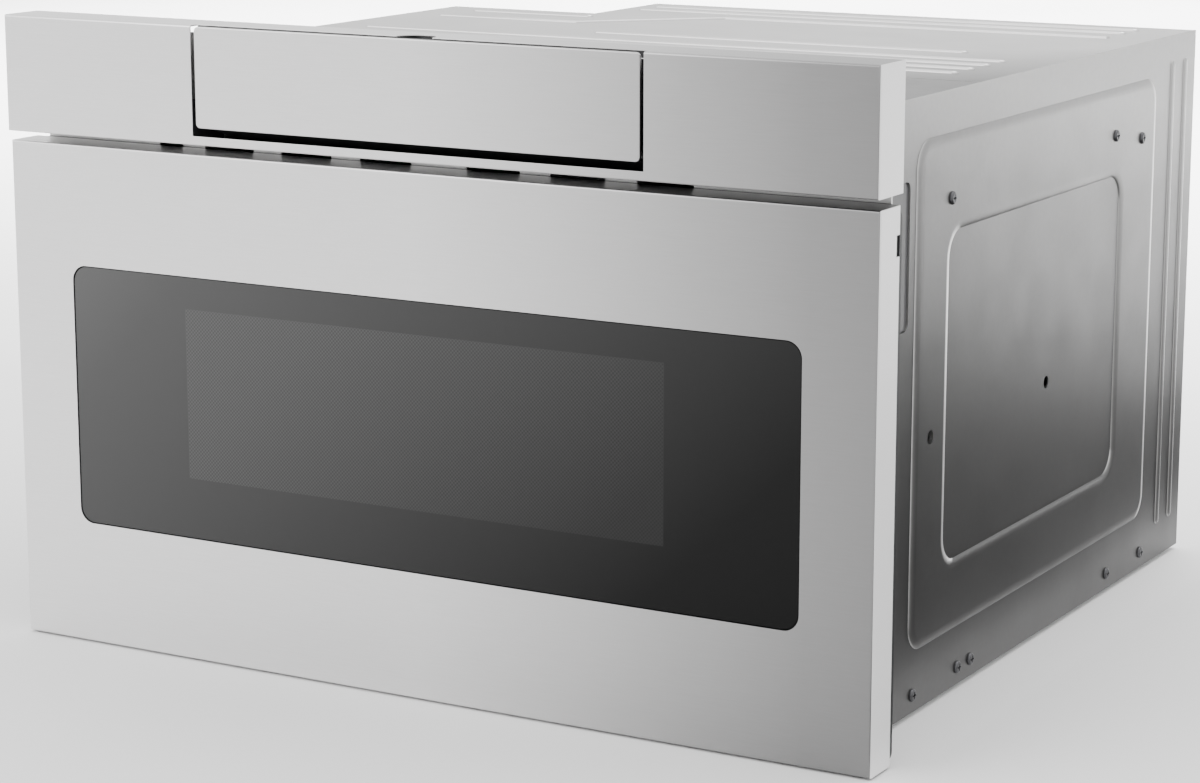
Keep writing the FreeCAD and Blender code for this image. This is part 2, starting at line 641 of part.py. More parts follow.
def control_bracket(name, side):
    """The plate that carries one hinge pin, bent back onto the front frame."""
    piece = Piece("control_bracket_" + name)
    near = S.well_half + S.run_gap
    plate = across(side, near, near + S.frame_thick)
    back = FRONT + S.frame_y
    low, high = S.fascia_low + S.skin, S.hinge_z + S.rail_half
    piece.pad("XY", low, high, box(*plate, FRONT + S.skin + S.run_gap, back))
    foot = across(side, near, near + S.rail_foot)
    piece.pad("XY", low, high, box(*foot, back - S.frame_thick, back))
    pin = Round(FRONT + S.hinge_y, S.hinge_z, S.hinge_pin)
    piece.pad("YZ", *across(side, S.wedge_half - S.key_margin, near), pin)
    return piece


# ---- oven cavity and what hangs on it ---------------------------------------------------

def cavity_shell():
    """The welded steel oven box, open at the front, with a port in its roof."""
    piece = Piece("cavity_shell")
    wall = S.cavity_wall
    half = CAVITY_HALF
    outside = box(-half - wall, half + wall, S.cavity_low - wall, CAVITY_ROOF)
    piece.pad("XZ", FRAME_BACK, BULKHEAD, outside)
    piece.pocket("XZ", FRAME_BACK, CAVITY_BACK, box(-half, half, S.cavity_low, S.cavity_top))
    piece.pocket("XY", S.cavity_top, CAVITY_ROOF, Round(0, FRONT + S.stirrer_y, S.port_radius))
    return piece


def rear_bulkhead():
    """The wall between the oven and the machinery behind it."""
    piece = Piece("rear_bulkhead")
    gap = box(-S.guide_half - S.sheet, S.guide_half + S.sheet, CAVITY_ROOF, ROOF_IN)
    wall = box(-PANEL_IN + S.sheet, PANEL_IN - S.sheet, BASE_TOP, ROOF_IN)
    piece.pad("XZ", BULKHEAD, BULKHEAD + S.sheet, wall)
    piece.pocket("XZ", BULKHEAD, BULKHEAD + S.sheet, gap)
    return piece


def cavity_rail(name, side):
    """A bent rail that ties the oven roof to the side panel."""
    piece = Piece("cavity_rail_" + name)
    gauge = S.sheet
    inner, outer = CAVITY_HALF - S.rail_foot, PANEL_IN
    low, high = CAVITY_ROOF, S.pocket_top + S.rail_foot
    points = [(inner, low), (outer, low), (outer, high), (outer - gauge, high),
              (outer - gauge, low + gauge), (inner, low + gauge)]
    shape = Outline(*[(side * x, z) for x, z in points])
    piece.pad("XZ", FRONT + S.pocket_y + S.run_gap, CAVITY_BACK, shape)
    end = REAR if side > 0 else STEP
    piece.pocket("YZ", *across(side, outer - gauge, outer), *screw_holes(rail_spots(end)))
    return piece


def waveguide():
    """The duct along the oven roof, open below at the port and at the tube."""
    piece = Piece("waveguide")
    low, high = CAVITY_ROOF, CAVITY_ROOF + S.guide_high
    front, back = FRONT + S.guide_front, TUBE_FRONT + S.tube_deep
    half, gauge = S.guide_half, S.sheet
    piece.pad("XY", low, high, box(-half, half, front, back))
    piece.pocket("XY", low, high - gauge, box(-half + gauge, half - gauge, front + gauge, back - gauge))
    piece.pocket("XY", high - gauge, high, disc(0, FRONT + S.stirrer_y, S.stem_radius + S.run_gap * 2))
    return piece


def stirrer_motor():
    """The small geared motor that turns the stirrer."""
    piece = Piece("stirrer_motor")
    low = CAVITY_ROOF + S.guide_high
    middle = FRONT + S.stirrer_y
    piece.pad("XY", low, low + S.motor_high, disc(0, middle, S.motor_can, LARGE_SIDES))
    flange = bar(-S.motor_half - S.key_margin, S.motor_half + S.key_margin, middle, S.post_radius * 2,
                 S.post_radius)
    piece.pad("XY", low, low + S.frame_thick, flange)
    piece.pocket("XY", low, low + S.motor_high / 2, disc(0, middle, S.stem_radius + S.run_gap * 2))
    return piece


def stirrer_blade():
    """The four-armed stirrer under the oven roof, on its stem."""
    piece = Piece("stirrer_blade", at=(0, FRONT + S.stirrer_y, 0))
    low = S.cavity_top - S.stirrer_drop
    piece.pad("XY", low, CAVITY_ROOF + S.guide_high + S.motor_high / 2 - S.run_gap,
              disc(0, 0, S.stem_radius, LARGE_SIDES))
    piece.pad("XY", low, low + S.sheet, disc(0, 0, S.stirrer_hub, LARGE_SIDES))
    root = S.stem_radius * 2
    arm = Outline((root, -root), (S.stirrer_blade, -S.stirrer_hub), (S.stirrer_tip, S.stirrer_hub),
                  (root, root))
    piece.ring(piece.pad("XY", low, low + S.sheet, arm), 4)
    return piece


def magnetron():
    """The tube's steel yoke round its anode, with the antenna dome on top."""
    piece = Piece("magnetron")
    top = CAVITY_ROOF - S.sheet
    low = top - S.tube_high
    half, gauge = S.tube_half, S.bracket_thick
    front, back = TUBE_FRONT, TUBE_FRONT + S.tube_deep
    middle = (front + back) / 2
    piece.pad("XZ", front, back, box(-half, half, low, top))
    piece.pocket("XZ", front, back, box(-half + gauge, half - gauge, low + gauge, top - gauge))
    piece.pad("XY", top, CAVITY_ROOF, box(-S.guide_half, S.guide_half, front, back))
    piece.pad("XY", CAVITY_ROOF, CAVITY_ROOF + S.dome_high, disc(0, middle, S.dome_radius, LARGE_SIDES))
    piece.pad("XY", low, top, disc(0, middle, S.dome_radius * 2, LARGE_SIDES))
    return piece


def magnetron_fins():
    """The stack of cooling fins pressed round the anode."""
    piece = Piece("magnetron_fins")
    low = CAVITY_ROOF - S.sheet - S.tube_high + S.fin_pitch * 2
    half = S.tube_half - S.bracket_thick
    front, back = TUBE_FRONT + S.key_margin, TUBE_FRONT + S.tube_deep - S.key_margin
    middle = TUBE_FRONT + S.tube_deep / 2
    fin = piece.pad("XY", low, low + S.fin_thick, box(-half, half, front, back),
                    disc(0, middle, S.dome_radius * 2, LARGE_SIDES))
    piece.row(fin, "Z", S.fin_pitch * 7, 8)
    return piece


def transformer_core():
    """The laminated core, a block with the two windows that the coils fill."""
    piece = Piece("transformer_core")
    left, right = -S.core_x - S.core_half, -S.core_x + S.core_half
    front, back = CORE_FRONT, CORE_FRONT + S.core_deep
    low, high = BASE_TOP, BASE_TOP + S.core_high
    edge = S.core_half / 3
    piece.pad("XZ", front, back, box(left, right, low, high))
    windows = [box(left + edge, -S.core_x - edge, low + edge, high - edge),
               box(-S.core_x + edge, right - edge, low + edge, high - edge)]
    piece.pocket("XZ", front, back, *windows)
    return piece


def transformer_coils():
    """Two windings on the middle limb, one above the other."""
    piece = Piece("transformer_coils")
    front, back = CORE_FRONT, CORE_FRONT + S.core_deep
    edge, out = S.core_half / 3, S.coil_out
    low, high = BASE_TOP + edge, BASE_TOP + S.core_high - edge
    middle = (low + high) / 2
    wide = S.core_half - edge
    for start, stop in ((low, middle - S.run_gap * 2), (middle + S.run_gap * 2, high)):
        ring = trimmed(-S.core_x - wide, -S.core_x + wide, front - out, back + out, S.coil_cut)
        limb = box(-S.core_x - edge, -S.core_x + edge, front, back)
        piece.pad("XY", start, stop, ring, limb)
    return piece


def hv_capacitor():
    """The high-voltage capacitor, a flattened can with two terminals."""
    piece = Piece("hv_capacitor")
    middle = CAVITY_BACK + S.can_y
    left, right = S.can_x - S.can_half, S.can_x + S.can_half
    piece.pad("XY", BASE_TOP, BASE_TOP + S.can_high,
              trimmed(left, right, middle - S.can_deep, middle + S.can_deep, S.can_cut))
    terminals = [disc(S.can_x - S.can_half / 2, middle, S.post_radius),
                 disc(S.can_x + S.can_half / 2, middle, S.post_radius)]
    piece.pad("XY", BASE_TOP + S.can_high, BASE_TOP + S.can_high + S.dome_radius, *terminals)
    return piece


def fan_frame():
    """The square fan housing on the rear panel, with the spokes that hold the motor."""
    piece = Piece("fan_frame")
    back, front = REAR - S.sheet, REAR - S.sheet - S.fan_deep
    left, right = FAN_X - S.fan_half, FAN_X + S.fan_half
    low, high = S.fan_z - S.fan_half, S.fan_z + S.fan_half
    piece.pad("XZ", front, back, trimmed(left, right, low, high, S.key_margin),
              Round(FAN_X, S.fan_z, S.fan_bore))
    arm = S.spoke_half
    piece.pad("XZ", back - S.spoke_deep, back, box(left + arm, right - arm, S.fan_z - arm, S.fan_z + arm))
    piece.pad("XZ", back - S.spoke_deep, back, box(FAN_X - arm, FAN_X + arm, low + arm, high - arm))
    return piece


def fan_motor():
    """The motor can on the spokes, with its shaft."""
    piece = Piece("fan_motor", at=(FAN_X, REAR - S.sheet - S.spoke_deep, S.fan_z))
    piece.pad("XZ", -S.hub_deep / 2, 0, disc(0, 0, S.fan_can, LARGE_SIDES))
    piece.pad("XZ", -S.fan_deep + S.spoke_deep, -S.hub_deep / 2, disc(0, 0, S.post_radius, LARGE_SIDES))
    return piece


def fan_wheel():
    """The wheel: flat blades set at an angle, wider at their tips, round a deep hub."""
    piece = Piece("fan_wheel", at=(FAN_X, REAR - S.sheet - S.spoke_deep - S.hub_deep, S.fan_z),
                  turn=((1, 0, 0), 90))
    piece.pad("XY", -S.hub_deep / 2 + S.run_gap * 2, S.hub_deep / 2, disc(0, 0, S.hub_radius, HUB_SIDES),
              disc(0, 0, S.post_radius + S.run_gap, LARGE_SIDES))
    root, tip, cut = S.hub_radius - S.blade_sunk, S.blade_radius, S.blade_cut
    blade = Outline((root, -S.blade_root), (tip - cut, -S.blade_tip), (tip - cut / 4, cut - S.blade_tip),
                    (tip, 0), (tip - cut / 4, S.blade_tip - cut), (tip - cut, S.blade_tip),
                    (root, S.blade_root))
    piece.ring(piece.plate(BLADE_PITCH, S.blade_thick, blade), FAN_BLADES)
    return piece


def lamp():
    """The lamp box on the oven's left wall, with its bulb."""
    piece = Piece("cavity_lamp")
    outer = -CAVITY_HALF - S.cavity_wall
    middle = FRONT + S.lamp_y
    piece.pad("YZ", outer - S.lamp_out, outer, box(middle - S.lamp_half, middle + S.lamp_half,
                                                   S.lamp_z - S.lamp_half, S.lamp_z + S.lamp_half))
    piece.pad("YZ", outer - S.lamp_out - S.key_margin, outer - S.lamp_out,
              disc(middle, S.lamp_z, S.dome_radius, LARGE_SIDES))
    return piece


def power_board():
    """The control and relay board on four posts over the oven."""
    piece = Piece("power_board")
    left, right = -S.board_x, -S.board_x + S.board_wide
    front, back = FRONT + S.board_y, FRONT + S.board_y + S.board_long
    low = CAVITY_ROOF + S.board_rise
    high = low + S.board_thick
    piece.pad("XY", low, high, box(left, right, front, back))
    posts = []
    for x in (left + S.key_margin, right - S.key_margin):
        for y in (front + S.key_margin, back - S.key_margin):
            posts.append(disc(x, y, S.post_radius))
    piece.pad("XY", CAVITY_ROOF, low, *posts)
    relays = []
    edge = S.key_margin * 2
    for number in range(3):
        start = front + S.key_margin * 3 + S.relay_pitch * number
        relays.append(box(left + edge, left + edge + S.relay_wide, start, start + S.relay_wide))
    piece.pad("XY", high, high + S.relay_high, *relays)
    supply = box(right - edge - S.supply_wide, right - edge, back - edge - S.supply_long, back - edge)
    piece.pad("XY", high, high + S.supply_high, supply)
    cans = []
    for number in (1, 2):
        cans.append(disc(right - S.relay_wide, front + S.relay_wide * number, S.dome_radius, LARGE_SIDES))
    piece.pad("XY", high, high + S.board_can, *cans)
    return piece


def noise_filter():
    """The mains filter on the oven roof: a board with its ring choke."""
    piece = Piece("noise_filter")
    middle = FRONT + S.hole_back
    low = CAVITY_ROOF + S.board_rise
    wide = S.filter_half
    board = box(S.filter_x - wide, S.filter_x + wide, middle - wide, middle + wide)
    piece.pad("XY", low, low + S.board_thick, board)
    posts = []
    for x, y in ((-1, -1), (-1, 1), (1, -1), (1, 1)):
        reach = wide - S.key_margin
        posts.append(disc(S.filter_x + x * reach, middle + y * reach, S.post_radius))
    piece.pad("XY", CAVITY_ROOF, low, *posts)
    piece.pad("XY", low + S.board_thick, low + S.board_thick + S.dome_radius * 2,
              disc(S.filter_x, middle, S.choke_ring, LARGE_SIDES),
              disc(S.filter_x, middle, S.dome_radius, LARGE_SIDES))
    return piece


def interlock_switches():
    """A pair of switch blocks behind the front frame, one beside each latch hook."""
    piece = Piece("interlock_switches")
    blocks = []
    for _, side in SIDES:
        near = HOOK_X + S.hook_thick + S.run_gap * 4
        blocks.append(box(*across(side, near, near + S.switch_wide), S.hook_low,
                          S.hook_low + S.switch_high))
    piece.pad("XZ", FRAME_BACK, FRAME_BACK + S.switch_long, *blocks)
    return piece


# ---- slides -----------------------------------------------------------------------------

def channel(side, web, lip, half, gauge):
    """A C channel seen from the front: its web, its open edge and its half height."""
    high, low = S.slide_mid + half, S.slide_mid - half
    bend = gauge if lip.value > web.value else -gauge
    points = [(web, low), (lip, low), (lip, low + gauge), (web + bend, low + gauge),
              (web + bend, high - gauge), (lip, high - gauge), (lip, high), (web, high)]
    return Outline(*[(side * x, z) for x, z in points])


def slides(name, side):
    """The three nested members of one telescopic slide."""
    start, end = FRONT + S.slide_start, SLIDE_END
    gauge = S.slide_gauge
    outer = Piece("outer_slide_" + name)
    outer.pad("XZ", start, end, channel(side, SLIDE_OUT, SLIDE_OUT - S.slide_lip, S.slide_half, gauge))
    middle = Piece("middle_slide_" + name)
    middle_half = S.slide_half - gauge - S.run_gap
    web = SLIDE_OUT - S.middle_in
    middle.pad("XZ", start, end, channel(side, web, web - S.slide_lip + S.bracket_thick, middle_half, gauge))
    inner = Piece("inner_slide_" + name)
    face = SLIDE_OUT - S.inner_in
    inner_half = middle_half - gauge - S.run_gap
    inner.pad("XZ", start, end, channel(side, face, web - gauge - S.run_gap, inner_half, gauge))
    return outer, middle, inner


def slide_spacer(name, side):
    """The hat-shaped rail between the outer slide member and the side panel."""
    piece = Piece("slide_spacer_" + name)
    gauge, half = S.sheet, S.spacer_half
    face, wall, foot = SLIDE_OUT, PANEL_IN, S.slide_half
    middle = S.slide_mid
    points = [(wall, middle - foot), (wall, middle - half + gauge), (face + gauge, middle - half + gauge),
              (face + gauge, middle + half - gauge), (wall, middle + half - gauge), (wall, middle + foot),
              (wall - gauge, middle + foot), (wall - gauge, middle + half), (face, middle + half),
              (face, middle - half), (wall - gauge, middle - half), (wall - gauge, middle - foot)]
    shape = Outline(*[(side * x, z) for x, z in points])
    piece.pad("XZ", FRONT + S.slide_start, SLIDE_END, shape)
    return piece


def drawer_rail(name, side):
    """The angle that hangs the drawer front on the inner slide member."""
    piece = Piece("drawer_rail_" + name)
    face = SLIDE_OUT - S.inner_in
    low, high = S.slide_mid - S.rail_half, S.slide_mid + S.rail_half
    start = DOOR_BACK
    piece.pad("XY", low, high, box(*across(side, face - S.frame_thick, face), start, FRONT + S.rail_end))
    foot = across(side, face - S.frame_thick - S.rail_foot, face)
    piece.pad("XY", low, high, box(*foot, start, start + S.frame_thick))
    return piece


# ---- rack drive -------------------------------------------------------------------------

def drive_rack():
    """The toothed bar behind the drawer front; its teeth face the pinion."""
    piece = Piece("drive_rack")
    root = RACK_ROOT
    start, end = DOOR_BACK, CAVITY_BACK - S.rack_back_gap
    low, high = S.rack_low, S.rack_low + S.rack_high
    piece.pad("XY", low, high, box(-S.rack_back, root, start, end))
    foot = box(-S.rack_back, S.rack_back, start, start + S.bracket_thick)
    piece.pad("XY", low, high, foot)
    pitch = S.gear_module * round(math.pi, 6)
    middle = FRONT + S.pinion_y - pitch * 3.5
    wide = pitch / 4 - S.backlash / 2
    root_half = wide + S.gear_module * (S.dedendum * PRESSURE_SLOPE)
    tip_half = wide - S.gear_module * PRESSURE_SLOPE
    tooth = Outline((root, middle - root_half), (0, middle - tip_half), (0, middle + tip_half),
                    (root, middle + root_half))
    feature = piece.pad("XY", low, high, tooth)
    teeth = int((end - middle).value / pitch.value)
    piece.row(feature, "Y", pitch * (teeth - 1), teeth)
    return piece


def drive_pinion():
    """The sixteen-tooth pinion, with its shaft up into the gearbox."""
    piece = Piece("drive_pinion", at=(PINION_X, FRONT + S.pinion_y, 0))
    low, high = S.rack_low - S.pinion_over, S.rack_low + S.rack_high + S.pinion_over
    root, tip = PITCH_RADIUS - S.gear_module * S.dedendum, PITCH_RADIUS + S.gear_module
    piece.pad("XY", low, high, Round(0, 0, root))
    teeth = round(S.pinion_teeth.value)
    wide = PITCH_RADIUS * round(math.sin(math.pi / teeth / 2), 6) - S.backlash / 2
    foot, crest, sunk = wide * S.tooth_foot, wide * S.tooth_crest, root * S.tooth_sunk
    tooth = Outline((-sunk, foot), (-PITCH_RADIUS, wide), (-tip, crest), (-tip, -crest),
                    (-PITCH_RADIUS, -wide), (-sunk, -foot))
    feature = piece.pad("XY", low, high, tooth)
    piece.ring(feature, teeth)
    piece.pad("XY", high, S.motor_low + S.bracket_thick + S.gearbox_high / 2, Round(0, 0, S.shaft_radius))
    return piece


def motor_bracket():
    """The plate over the pinion, on two legs down to the base."""
    piece = Piece("motor_bracket")
    x, y = PINION_X, FRONT + S.pinion_y
    half, low, thick = S.motor_half, S.motor_low, S.bracket_thick
    right, back = x + S.bracket_right, y + S.bracket_back
    piece.pad("XY", low, low + thick, box(x - half, right, y - half, back))
    legs = [box(right - thick, right, y - half, back), box(x + half, right, back - thick, back)]
    for leg in legs:
        piece.pad("XY", BASE_TOP, low + thick, leg)
    piece.pocket("XY", low, low + thick, disc(x, y, S.shaft_radius + S.run_gap, LARGE_SIDES))
    return piece


def drive_motor():
    """The geared motor that drives the drawer, over its bracket."""
    piece = Piece("drive_motor")
    x, y = PINION_X, FRONT + S.pinion_y
    low = S.motor_low + S.bracket_thick
    top = low + S.gearbox_high
    gearbox = trimmed(x - S.gearbox_left, x + S.gearbox_right, y - S.gearbox_left, y + S.gearbox_back,
                      S.key_margin)
    piece.pad("XY", low, top, gearbox)
    piece.pocket("XY", low, low + S.gearbox_high / 2 + S.run_gap,
                 disc(x, y, S.shaft_radius + S.run_gap, LARGE_SIDES))
    piece.pad("XY", top, top + S.motor_high, disc(x + S.motor_right, y + S.motor_back, S.motor_can,
                                                  LARGE_SIDES))
    return piece


def rack_guide():
    """The plastic trough under the rack."""
    piece = Piece("rack_guide")
    wall, gap = S.guide_wall, S.run_gap
    left, right = -S.rack_back - gap - wall, RACK_ROOT
    start, end = FRAME_BACK + gap * 4, CAVITY_BACK - S.guide_short
    lip = S.rack_low + S.guide_lip
    points = [(left, BASE_TOP), (right, BASE_TOP), (right, S.rack_low - gap),
              (-S.rack_back - gap, S.rack_low - gap), (-S.rack_back - gap, lip), (left, lip)]
    piece.pad("XZ", start, end, Outline(*points))
    return piece


# ---- drawer -----------------------------------------------------------------------------

def drawer_front_skin():
    """The stainless front, folded back round its edge, with the window opening."""
    piece = Piece("drawer_front_skin")
    face, back = FRONT + S.front_set, FRONT + S.front_back
    half, wall = S.front_half, S.skin
    piece.pad("XZ", face, back, box(-half, half, S.front_low, S.front_top))
    piece.rounded(S.fold_radius, lambda edge: upright(edge) and edge.BoundBox.YMax < face.value + 1)
    piece.pocket("XZ", face + wall, back, box(-half + wall, half - wall, S.front_low + wall,
                                              S.front_top - wall))
    piece.pocket("XZ", face, face + wall, box(-S.glass_half, S.glass_half, S.glass_low, S.glass_top,
                                              S.glass_corner))
    tab = box(back - S.tab_deep, back, S.tab_low, S.tab_low + S.tab_high)
    piece.pocket("YZ", half - wall, half, tab)
    return piece


def drawer_glass():
    """The door glass, set a little below the skin."""
    piece = Piece("drawer_front_glass")
    gap = S.glass_gap
    face = FRONT + S.front_set + S.glass_sunk
    piece.pad("XZ", face, face + S.glass_thick, box(-S.glass_half + gap, S.glass_half - gap,
                                                    S.glass_low + gap, S.glass_top - gap, S.glass_corner))
    return piece


def glass_back():
    """Where the back of the door glass lies."""
    return FRONT + S.front_set + S.glass_sunk + S.glass_thick


def glass_carrier():
    """The moulded ring that holds the glass in the front."""
    piece = Piece("glass_carrier")
    front, edge = glass_back(), S.carrier_edge
    outer = box(-S.glass_half - edge, S.glass_half + edge, S.glass_low - edge, S.glass_top + edge,
                S.glass_corner)
    inner = box(-S.view_half - edge, S.view_half + edge, S.view_low - edge, S.view_top + edge)
    piece.pad("XZ", front, front + S.carrier_thick, outer, inner)
    return piece


def view_screen():
    """The perforated steel screen behind the view area."""
    piece = Piece("view_screen")
    front, edge = glass_back(), S.screen_edge
    piece.pad("XZ", front, front + S.screen_thick, box(-S.view_half - edge, S.view_half + edge,
                                                       S.view_low - edge, S.view_top + edge))
    return piece


def inner_panel():
    """The steel inner door with its pan pressed forward to the carrier."""
    piece = Piece("inner_panel")
    back = FRONT + S.front_back
    half, wall = S.front_half - S.skin, S.inner_thick
    front = glass_back() + S.carrier_thick
    piece.pad("XZ", back - wall, back, box(-half, half, S.front_low + S.skin, S.front_top - S.skin))
    edge = S.carrier_edge
    piece.pad("XZ", front, back - wall, box(-S.glass_half, S.glass_half, S.glass_low, S.glass_top,
                                            S.glass_corner))
    piece.pocket("XZ", front, back, box(-S.view_half - edge, S.view_half + edge, S.view_low - edge,
                                        S.view_top + edge))
    return piece


def choke_cover():
    """The black moulded cover over the back of the door, with its window."""
    piece = Piece("choke_cover")
    half = S.front_half - S.choke_edge
    piece.pad("XZ", FRONT + S.front_back, DOOR_BACK,
              box(-half, half, S.front_low, S.front_top - S.choke_edge, S.choke_corner))
    edge = S.carrier_edge
    piece.pocket("XZ", FRONT + S.front_back, DOOR_BACK,
                 box(-S.view_half - edge, S.view_half + edge, S.view_low - edge, S.view_top + edge))
    return piece


def drawer_box():
    """The moulded drawer: rounded corners, a rim and a window in its front wall."""
    piece = Piece("drawer_box")
    front, back = DOOR_BACK, BOX_BACK
    half, wall, corner = BOX_HALF, S.box_wall, S.box_corner
    piece.pad("XY", S.box_low, S.box_top, box(-half, half, front, back, corner))
    piece.pocket("XY", S.box_low + S.box_floor, S.box_top,
                 box(-half + wall, half - wall, front + wall, back - wall, corner - wall))
    window = box(-S.view_half, S.view_half, S.view_low, S.view_top)
    piece.pocket("XZ", front, front + wall, window)
    return piece


def box_floor_plate():
    """The ceramic plate that lies in the drawer."""
    piece = Piece("box_floor_plate")
    gap = S.box_wall + S.plate_gap
    low = S.box_low + S.box_floor
    piece.pad("XY", low, low + S.plate_thick, box(-BOX_HALF + gap, BOX_HALF - gap, DOOR_BACK + gap,
                                                  BOX_BACK - gap, S.box_corner - gap))
    return piece


def latch_hooks():
    """The two hooks that reach through the front frame to the switches."""
    piece = Piece("latch_hooks")
    start, end = DOOR_BACK, DOOR_BACK + S.hook_long
    low, high = S.hook_low, S.hook_low + S.hook_high
    arm = high - S.switch_high / 2
    points = [(start, low), (start + S.hook_thick, low), (start + S.hook_thick, arm),
              (end, arm), (end - S.hook_thick, high), (start, high)]
    for _, side in SIDES:
        piece.pad("YZ", *across(side, HOOK_X, HOOK_X + S.hook_thick), Outline(*points))
    return piece


# ---- control panel ----------------------------------------------------------------------

def control_skin():
    """The stainless face of the flip-up control panel."""
    piece = Piece("control_skin")
    half, wall = S.panel_half, S.skin
    back = FRONT + S.panel_deep
    piece.pad("XZ", FRONT, back, box(-half, half, S.panel_low, S.panel_top, S.panel_corner))
    piece.pocket("XZ", FRONT + wall, back, box(-half + wall, half - wall, S.panel_low + wall,
                                               S.panel_top - wall, S.panel_corner - wall))
    return piece


def key_slope():
    """The ends of the sloping key face: top front, then low back."""
    front = (FRONT + S.panel_deep, S.hinge_z + S.wedge_rise)
    back = (FRONT + S.hinge_y + S.wedge_back, S.hinge_z - S.wedge_drop)
    return front, back


def control_housing():
    """The wedge behind the control panel that turns the keys up when it is tilted."""
    piece = Piece("control_housing")
    front, back = key_slope()
    face = FRONT + S.skin
    low = S.panel_low + S.skin
    wedge = Outline((face, low), (face, front[1] - S.panel_deep + S.skin), front, back,
                    (back[0] - S.key_glass, back[1] - S.key_glass), (FRONT + S.panel_deep, low))
    half = S.wedge_half
    piece.pad("YZ", -half, half, wedge)
    piece.pocket("YZ", -half + S.key_margin, half - S.key_margin, key_plate(S.key_glass))
    hole = Round(FRONT + S.hinge_y, S.hinge_z, S.hinge_pin + S.run_gap)
    for _, side in SIDES:
        piece.pocket("YZ", *across(side, half - S.key_margin * 2, half), hole)
    return piece


def key_plate(thick):
    """The section of the key glass, let into the slope."""
    front, back = key_slope()
    points = []
    for share, sunk in ((S.key_start, 0), (S.key_end, 0), (S.key_end, 1), (S.key_start, 1)):
        points.append((front[0] + (back[0] - front[0]) * share,
                       front[1] + (back[1] - front[1]) * share - thick * S.key_slant * sunk))
    return Outline(*points)


def control_glass():
    """The black touch glass on the slope."""
    piece = Piece("control_glass")
    half = S.wedge_half - S.key_margin
    piece.pad("YZ", -half, half, key_plate(S.key_glass))
    return piece


# ---- cord entry and screws --------------------------------------------------------------

def cord_gland():
    """The strain relief for the supply cord in the rear panel."""
    piece = Piece("cord_gland", at=(S.cord_x, REAR, S.cord_z), turn=((1, 0, 0), -90))
    neck = disc(0, 0, S.gland_radius - S.bead_half - S.run_gap, LARGE_SIDES)
    piece.pad("XY", -S.gland_in, S.gland_out, neck)
    piece.pad("XY", 0, S.bead_half, disc(0, 0, S.gland_radius))
    piece.pocket("XY", -S.gland_in, S.gland_out, Round(0, 0, S.cord_radius))
    return piece


def screw_holes(spots):
    """The holes that screws at these spots pass through."""
    return [disc(*spot, S.screw_shank + S.screw_play) for spot in spots]


def base_spots(end):
    """The screws along the foot of a side, each (along, up)."""
    level = S.base_lift + S.flange_high / 2
    first = FRONT + S.panel_y + S.dome_radius
    spots = [(first, level), (first + S.foot_pitch, level), (first + S.foot_pitch + S.foot_pair, level)]
    return spots + [(end - S.inner_end, level), (end - S.panel_end, level)]


def rail_spots(end):
    """The screws at the head of a side, into the cavity rail."""
    return [(FRONT + S.inner_y, S.rail_screw), (end - S.panel_end * 2, S.rail_screw + S.screw_long),
            (end - S.panel_end - S.rail_foot * 2, S.rail_screw)]


def rear_spots():
    """The screws of the rear panel, each (across, up)."""
    levels = (S.base_lift + S.flange_high / 2, ROOF_IN - S.bead_half * 2)
    places = (-S.step_x + S.rail_foot, S.step_x / 2, PANEL_IN - S.rail_foot)
    return [(x, z) for x in places for z in levels]


def screws(piece, plane, seat, side, spots):
    """Screws of one kind, heads on a face and shanks into it."""
    heads = [disc(*spot, S.screw_head) for spot in spots]
    shanks = [disc(*spot, S.screw_shank) for spot in spots]
    head = (seat, seat + S.screw_high) if side > 0 else (seat - S.screw_high, seat)
    shank = (seat - S.screw_long, seat) if side > 0 else (seat, seat + S.screw_long)
    piece.pad(plane, *head, *heads)
    piece.pad(plane, *shank, *shanks)


def all_screws():
    """The screws of the two sides and of the rear."""
    piece = Piece("side_screws")
    for end, side in ((STEP, -1), (REAR, 1)):
        screws(piece, "YZ", side * S.body_half, side, base_spots(end))
        screws(piece, "YZ", side * (S.body_half + S.emboss), side, rail_spots(end))
    screws(Piece("rear_screws"), "XZ", REAR, 1, rear_spots())


def build():
    """Make every sub-part."""
    base_plate()
    side_panel("left", -1, STEP)
    side_panel("right", 1, REAR)
    front_top_plate()
    top_cover()
    rear_panel()
    step_panel()
    front_frame()
    fascia()
    cavity_shell()
    rear_bulkhead()
    for name, side in SIDES:
        control_bracket(name, side)
        cavity_rail(name, side)
        slides(name, side)
        slide_spacer(name, side)
        drawer_rail(name, side)
    waveguide()
    stirrer_motor()
    stirrer_blade()
    magnetron()
    magnetron_fins()
    transformer_core()
    transformer_coils()
    hv_capacitor()
    fan_frame()
    fan_motor()
    fan_wheel()
    lamp()
    power_board()
    noise_filter()
    interlock_switches()
    drive_rack()
    drive_pinion()
    motor_bracket()
    drive_motor()
    rack_guide()
    drawer_front_skin()
    drawer_glass()
    glass_carrier()
    view_screen()
    inner_panel()
    choke_cover()
    drawer_box()
    box_floor_plate()
    latch_hooks()
    control_skin()
    control_housing()
    control_glass()
    cord_gland()
    all_screws()
    doc.recompute()


def check():
    """Stop where an object of the document has failed."""
    for thing in doc.Objects:
        if "Invalid" in thing.State or "Error" in thing.State:
            raise ValueError(f"{thing.Label} is not valid")
    for body in doc.findObjects("PartDesign::Body"):
        if body.Shape.isNull() or not body.Shape.isValid() or not body.Shape.Solids:
            raise ValueError(f"{body.Label} has no valid solid")


def write():
    """Write each sub-part to its own STEP file."""
    os.makedirs("parts", exist_ok=True)
    for body in doc.findObjects("PartDesign::Body"):
        body.Shape.exportStep(f"parts/{body.Label}.step")


build()
check()
write()
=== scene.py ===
import json
import math

import bmesh
import bpy
from mathutils import Euler, Matrix, Vector

